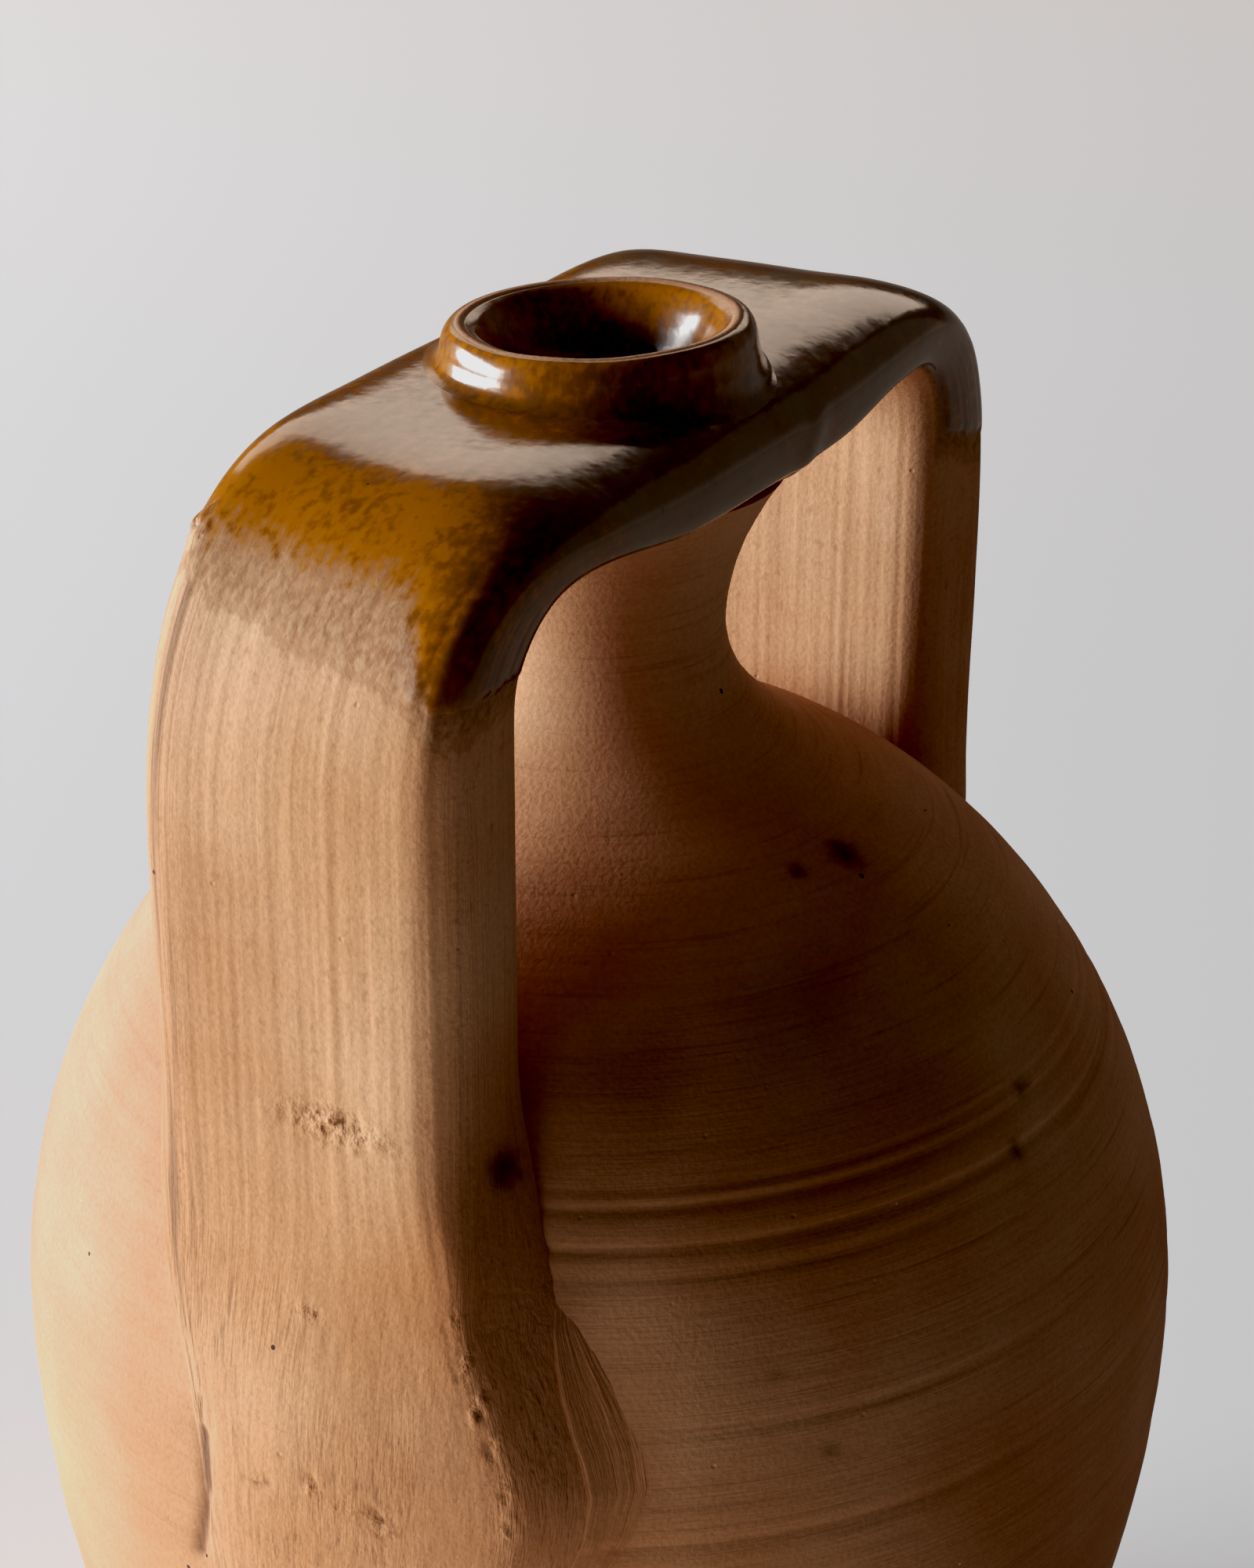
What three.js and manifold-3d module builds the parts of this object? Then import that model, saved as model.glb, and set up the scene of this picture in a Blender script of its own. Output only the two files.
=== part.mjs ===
// Terracotta amphora: a thrown jar whose two flat strap handles meet round the neck as one bridge.
// Millimetres, +Z up. The origin is the centre of the base's underside; the front handle is on -X.

import * as THREE from 'three';
import { mergeVertices } from 'three/addons/utils/BufferGeometryUtils.js';
import Module from 'manifold-3d';

const wasm = await Module();
wasm.setup();

// Body
const baseRadius = 52;
const baseEdgeRound = 2.5;
const bellyRadius = 100;
const bellyHeight = 128;
const shoulderRise = 107;       // half height of the shoulder's ellipse above the belly
const wallThickness = 6;
const floorThickness = 8;
const seamRise = 53;            // belly up to the joint between wall and shoulder
const scarfRise = 3;            // slant of a clay joint, across the wall

// Throwing grooves, as heights above the belly
const grooveRises = [11, 29, 48.5, 58.5, 63];
const grooveDepth = 0.7;
const grooveHalfWidth = 1.6;
const grooveReach = 2.4;        // a profile point nearer than this to a groove gives way to it

// Neck
const flareRadius = 42;         // where the neck is luted to the shoulder
const waistRadius = 21;
const waistRise = 25;           // flare joint up to the waist
const boreRadius = 15;
const ledgeRadius = 28;         // flare under the bridge that carries the straps
const ledgeRise = 24.5;         // waist up to the ledge
const ledgeSpread = 12;         // height over which the neck flares out to the ledge
const ledgeLip = 1.5;
const spigotRadius = 21;        // stub that the straps wrap round

// Straps
const bridgeThickness = 17.5;
const strapWidth = 55;
const strapEdgeRound = 6.5;
const frontLegInset = 8.5;      // outer face of the front leg, inside the belly's widest radius
const rearLegInset = 4;         // the rear strap was pulled a little wider
const legThickness = 26;
const frontBendRadius = 50;
const rearBendRadius = 43;
const innerBendRadius = 17;
const legDrop = 30;             // straight stretch of a leg below the outer bend
const footDrop = 52;            // stretch over which the leg's foot draws in
const footInset = 7;

// Clay wads that spread each foot on the shoulder
const wadRise = 22;             // belly up to the middle of the wad
const wadSink = 15;             // middle of the wad below the body's surface
const wadHalfHeight = 54;
const wadHalfWidth = 40;
const wadHalfThickness = 18;
const wadOffset = 11;           // the thumb drew the clay to one side
const wadLean = 0.12;           // lean of the wad towards that side, in radians
const wadTilt = 0.1;            // tilt of the wad to lie along the shoulder, in radians

// Collar
const collarHeight = 8;
const collarSeat = 3;           // depth of the collar's seat inside the bridge
const collarFootRadius = 25;
const collarFootThickness = 1.2;
const lipRadius = 22;
const lipHalfWidth = 3.1;
const lipHalfHeight = 2.9;
const lipUndercut = 0.9;        // how far the lip's round runs under it outside, in radians
const lipInnerTurn = 0.25;      // and inside

// Glaze
const glazeThickness = 0.5;
const glazeDrop = 19;           // bridge top down to where the glaze ends on the bends
const lipBareAngle = 0.28;      // bare crest of the lip, each side of the top, in radians
const mouthGlazeDepth = 12;     // how far the glaze runs down inside the mouth

// Fit
const slipGap = 0.3;            // film of slip between pieces

// Fineness of the facets
const bodySegments = 52;
const neckSegments = 40;
const strapSegments = 7;
const strapEdgeSegments = 3;
const baseEdgeSteps = 3;
const wallSteps = 7;
const liningSteps = 5;
const envelopeSteps = 16;
const flareSteps = 5;
const spreadSteps = 4;
const lipSteps = 11;
const lipSkinSteps = 5;
const wadSegments = 28;
const wadRings = 18;

// Levels that follow from the sizes above
const lowerRise = bellyHeight / Math.sqrt(1 - (baseRadius / bellyRadius) ** 2);
const seamHeight = bellyHeight + seamRise;
const flareHeight = ellipseHeight(flareRadius, 0);
const waistHeight = flareHeight + waistRise;
const ledgeHeight = waistHeight + ledgeRise;
const bridgeUnderside = ledgeHeight + slipGap;
const bridgeTop = bridgeUnderside + bridgeThickness;
const neckTop = bridgeTop - collarSeat;
const rimHeight = bridgeTop + collarHeight;
const lipHeight = rimHeight - lipHalfHeight;
const lipOuterStart = -lipUndercut;
const lipInnerEnd = Math.PI + lipInnerTurn;
const wadHeight = bellyHeight + wadRise;
const wadReach = bodyRadius(wadHeight, 0) - wadSink;

// Height of the shoulder's surface at a radius, with the wall grown or shrunk by an offset.
function ellipseHeight(radius, offset) {
  const share = radius / (bellyRadius + offset);
  return bellyHeight + (shoulderRise + offset) * Math.sqrt(1 - share * share);
}

// Radius of the body's surface at a height, with the wall grown or shrunk by an offset.
function bodyRadius(height, offset) {
  const rise = height < bellyHeight ? lowerRise : shoulderRise;
  const share = (height - bellyHeight) / (rise + offset);
  return (bellyRadius + offset) * Math.sqrt(1 - share * share);
}

// Profile points of the body from one height to another, evenly round its ellipse.
function bodyPoints(from, to, offset, steps) {
  const rise = (height) => (height < bellyHeight ? lowerRise : shoulderRise) + offset;
  const start = Math.asin((from - bellyHeight) / rise(from));
  const end = Math.asin((to - bellyHeight) / rise(to));
  const points = [];
  for (let step = 0; step <= steps; step += 1) {
    const angle = start + ((end - start) * step) / steps;
    const height = bellyHeight + Math.sin(angle) * (angle < 0 ? lowerRise + offset : shoulderRise + offset);
    points.push(new THREE.Vector2((bellyRadius + offset) * Math.cos(angle), height));
  }
  return points;
}

// Adds the throwing grooves that lie inside a stretch of outer wall.
function withGrooves(points) {
  const low = points[0].y + grooveHalfWidth;
  const high = points[points.length - 1].y - grooveHalfWidth;
  const heights = grooveRises
    .map((rise) => bellyHeight + rise)
    .filter((height) => height > low && height < high);
  const clear = points.filter(
    (point) => heights.every((height) => Math.abs(point.y - height) > grooveReach),
  );
  for (const height of heights) {
    clear.push(new THREE.Vector2(bodyRadius(height - grooveHalfWidth, 0), height - grooveHalfWidth));
    clear.push(new THREE.Vector2(bodyRadius(height, 0) - grooveDepth, height));
    clear.push(new THREE.Vector2(bodyRadius(height + grooveHalfWidth, 0), height + grooveHalfWidth));
  }
  return clear.sort((one, other) => one.y - other.y);
}

// Outer profile of the neck from the flare joint up to the ledge.
function neckOuter(startRadius, offset) {
  const startHeight = ellipseHeight(startRadius, offset);
  const slope = ((shoulderRise + offset) / (bellyRadius + offset)) * (startRadius / (bellyRadius + offset))
    / Math.sqrt(1 - (startRadius / (bellyRadius + offset)) ** 2);
  const waist = waistRadius + offset;
  const flare = new THREE.QuadraticBezierCurve(
    new THREE.Vector2(startRadius, startHeight),
    new THREE.Vector2(waist, startHeight + slope * (startRadius - waist)),
    new THREE.Vector2(waist, waistHeight),
  );
  const spread = new THREE.QuadraticBezierCurve(
    new THREE.Vector2(waist, waistHeight),
    new THREE.Vector2(waist, ledgeHeight - ledgeSpread),
    new THREE.Vector2(ledgeRadius + offset, ledgeHeight - ledgeLip),
  );
  return [...flare.getPoints(flareSteps), ...spread.getPoints(spreadSteps).slice(1)];
}

// Drops the seam's doubled points and the flat triangles at the axis, leaving one closed skin.
function weld(geometry) {
  geometry.deleteAttribute('normal');
  geometry.deleteAttribute('uv');
  const merged = mergeVertices(geometry, 1e-4);
  const kept = [];
  for (let corner = 0; corner < merged.index.count; corner += 3) {
    const triangle = [0, 1, 2].map((step) => merged.index.getX(corner + step));
    if (new Set(triangle).size === 3) {
      kept.push(...triangle);
    }
  }
  merged.setIndex(kept);
  return merged;
}

function turn(points, segments) {
  const geometry = new THREE.LatheGeometry(points, segments);
  geometry.rotateX(Math.PI / 2);
  return weld(geometry);
}

function turnRing(points, segments) {
  return turn([...points, points[0]], segments);
}

function toSolid(geometry) {
  return new wasm.Manifold(new wasm.Mesh({
    numProp: 3,
    vertProperties: new Float32Array(geometry.attributes.position.array),
    triVerts: new Uint32Array(geometry.index.array),
  }));
}

function toGeometry(solid) {
  const mesh = solid.getMesh();
  const geometry = new THREE.BufferGeometry();
  geometry.setAttribute('position', new THREE.BufferAttribute(mesh.vertProperties, 3));
  geometry.setIndex(new THREE.BufferAttribute(mesh.triVerts, 1));
  return geometry;
}

function boxSolid(low, high) {
  const size = high.map((value, axis) => value - low[axis]);
  const geometry = new THREE.BoxGeometry(...size);
  geometry.translate(...low.map((value, axis) => value + size[axis] / 2));
  return toSolid(weld(geometry));
}

function discSolid(radius, low, high) {
  const points = [[0, low], [radius, low], [radius, high], [0, high]];
  return toSolid(turn(points.map((point) => new THREE.Vector2(...point)), neckSegments));
}

// Base slab with a softened lower edge
function baseFloor() {
  const edge = new THREE.EllipseCurve(
    baseRadius - baseEdgeRound, baseEdgeRound, baseEdgeRound, baseEdgeRound, -Math.PI / 2, 0,
  );
  return turn([
    new THREE.Vector2(0, 0),
    ...edge.getPoints(baseEdgeSteps),
    new THREE.Vector2(bodyRadius(floorThickness, 0), floorThickness),
    new THREE.Vector2(bodyRadius(floorThickness, -wallThickness), floorThickness + scarfRise),
    new THREE.Vector2(0, floorThickness + scarfRise),
  ], bodySegments);
}

// A stretch of thrown wall between two slanted joints
function thrownWall(low, high, innerHigh) {
  const outer = withGrooves(bodyPoints(low, high, 0, wallSteps));
  const inner = bodyPoints(low + scarfRise, innerHigh, -wallThickness, liningSteps).reverse();
  return turnRing([...outer, ...inner], bodySegments);
}

const innerFlareRadius = flareRadius - scarfRise;

function lowerWall() {
  return thrownWall(floorThickness + slipGap, seamHeight - slipGap, seamHeight - slipGap + scarfRise);
}

function shoulder() {
  return thrownWall(seamHeight, flareHeight, ellipseHeight(innerFlareRadius, -wallThickness));
}

// Neck with a waist, a ledge for the straps and a stub for the collar
function neck() {
  const innerStart = innerFlareRadius - slipGap;
  const throat = new THREE.QuadraticBezierCurve(
    new THREE.Vector2(boreRadius, waistHeight),
    new THREE.Vector2(boreRadius, flareHeight),
    new THREE.Vector2(innerStart, ellipseHeight(innerStart, -wallThickness)),
  );
  return turnRing([
    ...neckOuter(flareRadius - slipGap, 0),
    new THREE.Vector2(ledgeRadius, ledgeHeight),
    new THREE.Vector2(spigotRadius, ledgeHeight),
    new THREE.Vector2(spigotRadius, neckTop),
    new THREE.Vector2(boreRadius, neckTop),
    ...throat.getPoints(spreadSteps),
  ], neckSegments);
}

// Lip's round section, swollen by an offset, between two angles measured from outward
function lipPoints(offset, from, to, steps) {
  const lip = new THREE.EllipseCurve(
    lipRadius, lipHeight, lipHalfWidth + offset, lipHalfHeight + offset, from, to,
  );
  return lip.getPoints(steps);
}

function collar() {
  const seat = neckTop + slipGap;
  const foot = bridgeTop + slipGap;
  return turnRing([
    new THREE.Vector2(boreRadius, seat),
    new THREE.Vector2(spigotRadius, seat),
    new THREE.Vector2(spigotRadius, foot),
    new THREE.Vector2(collarFootRadius, foot),
    new THREE.Vector2(collarFootRadius, foot + collarFootThickness),
    ...lipPoints(0, lipOuterStart, lipInnerEnd, lipSteps),
  ], neckSegments);
}

// Glaze on the outside of the collar, from its foot to the bare crest
function collarGlaze() {
  const foot = bridgeTop + slipGap;
  const inside = slipGap;
  const outside = slipGap + glazeThickness;
  const crest = Math.PI / 2 - lipBareAngle;
  return turnRing([
    new THREE.Vector2(collarFootRadius + inside, foot),
    new THREE.Vector2(collarFootRadius + outside, foot),
    new THREE.Vector2(collarFootRadius + outside, foot + collarFootThickness + outside),
    ...lipPoints(outside, lipOuterStart, crest, lipSkinSteps),
    ...lipPoints(inside, lipOuterStart, crest, lipSkinSteps).reverse(),
    new THREE.Vector2(collarFootRadius + inside, foot + collarFootThickness + inside),
  ], neckSegments);
}

// Glaze inside the mouth, from the bare crest down into the bore
function mouthGlaze() {
  const inside = slipGap;
  const outside = slipGap + glazeThickness;
  const low = rimHeight - mouthGlazeDepth;
  const crest = Math.PI / 2 + lipBareAngle;
  const seat = neckTop + slipGap;
  return turnRing([
    new THREE.Vector2(boreRadius - inside, low),
    new THREE.Vector2(boreRadius - inside, seat),
    ...lipPoints(inside, crest, lipInnerEnd, lipSkinSteps).reverse(),
    ...lipPoints(outside, crest, lipInnerEnd, lipSkinSteps),
    new THREE.Vector2(boreRadius - outside, seat),
    new THREE.Vector2(boreRadius - outside, low),
  ], neckSegments);
}

// Everything inside the jar's outer skin, grown by a clearance
function bodyEnvelope(clearance) {
  return toSolid(turn([
    new THREE.Vector2(0, 0),
    ...bodyPoints(0, bellyHeight, clearance, envelopeSteps),
    ...bodyPoints(bellyHeight, flareHeight, clearance, envelopeSteps).slice(1, -1),
    ...neckOuter(flareRadius, clearance),
    new THREE.Vector2(ledgeRadius + clearance, ledgeHeight),
    new THREE.Vector2(0, ledgeHeight),
  ], bodySegments));
}

// One strap as a side profile with arcs, run across its width with rounded long edges, along +X
function strapBlank(leg, swell) {
  const past = -2 * strapEdgeRound;      // beyond the middle, where the straps are cut square
  const bendStart = leg.reach - leg.bendRadius;
  const bendHeight = bridgeTop - leg.bendRadius;
  const innerReach = leg.reach - legThickness;
  const innerStart = innerReach - innerBendRadius;
  const innerHeight = bridgeUnderside - innerBendRadius;
  const legEnd = bendHeight - legDrop;
  const footEnd = legEnd - footDrop;
  const side = new THREE.Shape();
  side.moveTo(past, bridgeUnderside);
  side.lineTo(innerStart, bridgeUnderside);
  side.absarc(innerStart, innerHeight, innerBendRadius, Math.PI / 2, 0, true);
  side.lineTo(innerReach, footEnd);
  side.lineTo(leg.reach - footInset, footEnd);
  side.quadraticCurveTo(leg.reach, legEnd - footDrop / 2, leg.reach, legEnd);
  side.lineTo(leg.reach, bendHeight);
  side.absarc(bendStart, bendHeight, leg.bendRadius, 0, Math.PI / 2, false);
  side.lineTo(past, bridgeTop);
  side.closePath();
  const depth = strapWidth - 2 * strapEdgeRound + 2 * swell;
  const geometry = new THREE.ExtrudeGeometry(side, {
    depth,
    curveSegments: strapSegments,
    bevelThickness: strapEdgeRound,
    bevelSize: strapEdgeRound,
    bevelOffset: swell - strapEdgeRound,
    bevelSegments: strapEdgeSegments,
  });
  geometry.translate(0, 0, -depth / 2);
  geometry.rotateX(Math.PI / 2);
  return toSolid(weld(geometry));
}

const farSide = 2 * bellyRadius + rimHeight;   // beyond every point, for cutting blocks

// Keeps what lies on one side of the plane where the two straps meet
function halfSpace(low, high) {
  return boxSolid([slipGap / 2, -farSide, low], [farSide, farSide, high]);
}

function strap(leg) {
  const hole = discSolid(spigotRadius + slipGap, 0, rimHeight);
  return toGeometry(strapBlank(leg, 0)
    .intersect(halfSpace(0, rimHeight))
    .subtract(hole)
    .subtract(bodyEnvelope(slipGap)));
}

// Clay wad smeared round the foot of a strap
function wad(leg) {
  const geometry = new THREE.SphereGeometry(1, wadSegments, wadRings);
  geometry.scale(wadHalfThickness, wadHalfWidth, wadHalfHeight);
  geometry.rotateX(wadLean);
  geometry.rotateY(-wadTilt);
  geometry.translate(wadReach, wadOffset, wadHeight);
  const behindStrap = boxSolid(
    [0, -strapWidth / 2, 0],
    [leg.reach - legThickness / 2, strapWidth / 2, rimHeight],
  );
  return toGeometry(toSolid(weld(geometry))
    .subtract(strapBlank(leg, slipGap))
    .subtract(behindStrap)
    .subtract(bodyEnvelope(slipGap)));
}

// Glaze over the top, the edges and the bend of one strap, with a hole round the collar
function strapGlaze(leg) {
  const glazeEnd = bridgeTop - glazeDrop;
  const innerReach = leg.reach - legThickness;
  const below = boxSolid(
    [0, -farSide, 0],
    [innerReach + strapEdgeRound, farSide, bridgeUnderside + strapEdgeRound],
  );
  const collarHole = discSolid(collarFootRadius + glazeThickness + 2 * slipGap, 0, rimHeight);
  return toGeometry(strapBlank(leg, slipGap + glazeThickness)
    .subtract(strapBlank(leg, slipGap))
    .intersect(halfSpace(glazeEnd, rimHeight))
    .subtract(below)
    .subtract(collarHole));
}

const amphora = new THREE.Group();

function addPiece(name, geometry, color, roughness, turned = 0) {
  const mesh = new THREE.Mesh(geometry, new THREE.MeshStandardMaterial({ color, roughness, metalness: 0 }));
  mesh.name = name;
  mesh.rotation.z = turned;
  amphora.add(mesh);
}

const clay = '#b98a66';
const shadedClay = '#9c6b48';
const honeyGlaze = '#7a4716';
const clayRoughness = 0.9;
const glazeRoughness = 0.15;

addPiece('base_floor', baseFloor(), shadedClay, clayRoughness);
addPiece('lower_wall', lowerWall(), clay, clayRoughness);
addPiece('shoulder', shoulder(), clay, clayRoughness);
addPiece('neck', neck(), clay, clayRoughness);
addPiece('collar', collar(), clay, clayRoughness);
addPiece('collar_glaze', collarGlaze(), honeyGlaze, glazeRoughness);
addPiece('mouth_glaze', mouthGlaze(), honeyGlaze, glazeRoughness);
const legs = {
  front: { reach: bellyRadius - frontLegInset, bendRadius: frontBendRadius, turned: Math.PI },
  rear: { reach: bellyRadius - rearLegInset, bendRadius: rearBendRadius, turned: 0 },
};
for (const [side, leg] of Object.entries(legs)) {
  addPiece(`${side}_strap`, strap(leg), clay, clayRoughness, leg.turned);
  addPiece(`${side}_wad`, wad(leg), shadedClay, clayRoughness, leg.turned);
  addPiece(`${side}_glaze`, strapGlaze(leg), honeyGlaze, glazeRoughness, leg.turned);
}

export default amphora;
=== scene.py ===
import math
import bpy
import numpy as np
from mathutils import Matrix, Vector, noise


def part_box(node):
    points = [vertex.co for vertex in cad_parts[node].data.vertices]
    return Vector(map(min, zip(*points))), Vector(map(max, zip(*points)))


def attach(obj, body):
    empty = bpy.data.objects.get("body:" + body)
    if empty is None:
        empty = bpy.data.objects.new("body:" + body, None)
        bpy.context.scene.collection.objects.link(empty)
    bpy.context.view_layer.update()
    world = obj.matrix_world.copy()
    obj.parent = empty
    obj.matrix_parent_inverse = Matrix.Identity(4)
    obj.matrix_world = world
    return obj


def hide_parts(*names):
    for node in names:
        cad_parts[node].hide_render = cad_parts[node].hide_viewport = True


# Terracotta amphora: bare thrown clay, two pulled straps bridged round the neck, honey glaze on top.
# Millimetres in the dictionaries, metres in the meshes. Front handle on -X, its glazed edge seen from -Y.
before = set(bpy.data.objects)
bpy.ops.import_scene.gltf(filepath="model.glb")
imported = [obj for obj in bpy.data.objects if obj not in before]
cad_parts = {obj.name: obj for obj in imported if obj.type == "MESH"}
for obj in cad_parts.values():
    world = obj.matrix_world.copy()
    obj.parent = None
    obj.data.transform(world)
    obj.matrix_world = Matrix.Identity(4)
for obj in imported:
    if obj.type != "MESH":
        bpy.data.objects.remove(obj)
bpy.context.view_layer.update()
mm = 0.001
print("frame loaded:", len(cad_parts), "nodes")


# helpers
def deselectAll():
    if bpy.context.object and bpy.context.object.mode != "OBJECT":
        bpy.ops.object.mode_set(mode="OBJECT")
    bpy.ops.object.select_all(action="DESELECT")


def makeActive(piece):
    deselectAll()
    piece.select_set(True)
    bpy.context.view_layer.objects.active = piece


def smooth(low, high, value):
    share = np.clip((value - low) / (high - low), 0, 1)
    return share * share * (3 - 2 * share)


def mixOf(one, other, share):
    return one + (other - one) * share


def grain(x, y, z, shift=0.0):
    # smooth noise at points that are already divided by the size of its lumps
    spots = np.stack(np.broadcast_arrays(x, y, z), 1) + shift
    return np.array([noise.noise(spot) for spot in spots.tolist()])


def fromAxis(points):
    return np.hypot(points[:, 0], points[:, 1])


def readPoints(piece):
    flat = np.empty(len(piece.data.vertices) * 3, np.float32)
    piece.data.vertices.foreach_get("co", flat)
    return flat.reshape(-1, 3).astype(float) / mm


def readNormals(piece):
    flat = np.empty(len(piece.data.vertices) * 3, np.float32)
    piece.data.vertex_normals.foreach_get("vector", flat)
    return flat.reshape(-1, 3).astype(float)


def writePoints(piece, points):
    piece.data.vertices.foreach_set("co", (points * mm).astype(np.float32).ravel())
    piece.data.update()


def readMark(piece, name):
    values = np.empty(len(piece.data.vertices), np.float32)
    piece.data.attributes[name].data.foreach_get("value", values)
    return values.astype(float)


def writeMark(piece, name, values):
    marks = piece.data.attributes
    mark = marks.get(name) or marks.new(name, "FLOAT", "POINT")
    mark.data.foreach_set("value", np.asarray(values, np.float32))


def writeRun(piece, lane, deep, along):
    # the way that the hand drew the clay
    run = piece.data.attributes.new("run", "FLOAT_VECTOR", "POINT")
    run.data.foreach_set("vector", (np.stack([lane, deep, along], 1) * mm).astype(np.float32).ravel())


def applyModifier(piece, kind, **settings):
    makeActive(piece)
    modifier = piece.modifiers.new(kind.title(), kind)
    for key, value in settings.items():
        setattr(modifier, key, value)
    bpy.ops.object.modifier_apply(modifier=modifier.name)


def editMesh(piece, *steps):
    # each step works on the whole mesh
    makeActive(piece)
    bpy.ops.object.mode_set(mode="EDIT")
    for operator, settings in steps:
        bpy.ops.mesh.select_all(action="SELECT")
        operator(**settings)
    bpy.ops.object.mode_set(mode="OBJECT")


mergeStep = (bpy.ops.mesh.remove_doubles, {"threshold": 1e-6})
normalStep = (bpy.ops.mesh.normals_make_consistent, {"inside": False})


def chooseOnly(piece, kind, chosen):
    # selects these vertices, edges or faces and nothing else, and goes into edit mode
    makeActive(piece)
    mesh = piece.data
    for each in (mesh.vertices, mesh.edges, mesh.polygons):
        each.foreach_set("select", np.zeros(len(each), bool))
    kind.foreach_set("select", chosen)
    bpy.ops.object.mode_set(mode="EDIT")


def spinPiece(name, profile, steps):
    # a point drawn along a closed profile of radius and height, then spun round the jar's axis
    deselectAll()
    bpy.ops.mesh.primitive_plane_add(size=mm)
    piece = bpy.context.object
    piece.name = piece.data.name = name
    bpy.ops.object.mode_set(mode="EDIT")
    bpy.ops.mesh.merge(type="CENTER")
    corners = [Vector((radius, 0, height)) * mm for radius, height in profile]
    bpy.ops.transform.translate(value=corners[0])
    for before, after in zip(corners, corners[1:] + corners[:1]):
        bpy.ops.mesh.extrude_vertices_move(TRANSFORM_OT_translate={"value": after - before})
    turn = {"steps": steps, "angle": 2 * math.pi, "center": (0, 0, 0), "axis": (0, 0, 1)}
    editMesh(piece, mergeStep, (bpy.ops.mesh.spin, turn), mergeStep, normalStep)
    return piece


def gridPiece(name, columns, rows, place):
    # a flat grid whose two directions, 0 to 1, are bent into place
    deselectAll()
    bpy.ops.mesh.primitive_grid_add(x_subdivisions=columns, y_subdivisions=rows, size=1)
    piece = bpy.context.object
    piece.name = piece.data.name = name
    flat = readPoints(piece) * mm + 0.5
    writePoints(piece, place(flat[:, 0], flat[:, 1]))
    return piece


def finishPiece(piece, material, slot, *nodes):
    makeActive(piece)
    bpy.ops.object.shade_smooth_by_angle(angle=math.radians(40))
    piece.data.materials.clear()
    piece.data.materials.append(material)
    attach(piece, "root")
    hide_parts(*nodes)
    print("finished", piece.name, len(piece.data.polygons), "faces")


# materials
def linear(code):
    shares = [int(code[at:at + 2], 16) / 255 for at in (1, 3, 5)]
    return tuple(s / 12.92 if s <= 0.04045 else ((s + 0.055) / 1.055) ** 2.4 for s in shares) + (1.0,)


def addNode(tree, kind, inputs=None, settings=None, stops=()):
    # an input that is another node's output is linked, and any other is set
    made = tree.nodes.new("ShaderNode" + kind)
    for key, value in (settings or {}).items():
        setattr(made, key, value)
    for key, value in (inputs or {}).items():
        if isinstance(value, bpy.types.NodeSocket):
            tree.links.new(value, made.inputs[key])
        else:
            made.inputs[key].default_value = value
    for at, (place, tone) in enumerate(stops):
        elements = made.color_ramp.elements
        element = elements[at] if at < 2 else elements.new(place)
        element.position = place
        element.color = tone if isinstance(tone, tuple) else (tone,) * 3 + (1.0,)
    return made


def newMaterial(name):
    material = bpy.data.materials.new(name)
    material.use_nodes = True
    material.node_tree.nodes.clear()
    return material, material.node_tree


rgba, weigh, eased = {"data_type": "RGBA"}, {"operation": "MULTIPLY_ADD"}, {"interpolation_type": "SMOOTHSTEP"}
clayTones = {
    "pale": "#cb9972", "body": "#bf8962", "deep": "#ae744b", "litSideBuff": "#ab7f69", "toast": "#a4683f", "ironAndShade": "#2e1b12",
    "lime": "#ecdcc6", "tornAndShade": "#6b4226", "wash": "#7f5130", "fleck": "#a87c55",
}
glazeTones = {"amber": "#96570c", "honey": "#75420c", "brown": "#623a13", "pool": "#482a10", "ashAndSheen": "#6f6148"}
tones = {name: linear(code) for name, code in (clayTones | glazeTones).items()}
# sizes in mm: blotches, drag lines across and along, hair lines across and along, grit, the cells that hold
# one speck or one pit, the crumbs of the dry brush and the lumps of torn clay
clayGrain = {"blotch": 42, "line": 9.0, "lineRun": 120, "hair": 0.9, "hairRun": 45, "grit": 0.8, "speck": 7.5, "pit": 9,
             "crumb": 1.1, "tear": 1.3}
clayDepth = {"line": 0.3, "hair": 0.26, "grit": 0.2, "pit": 0.3, "tear": 1.2}


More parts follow.
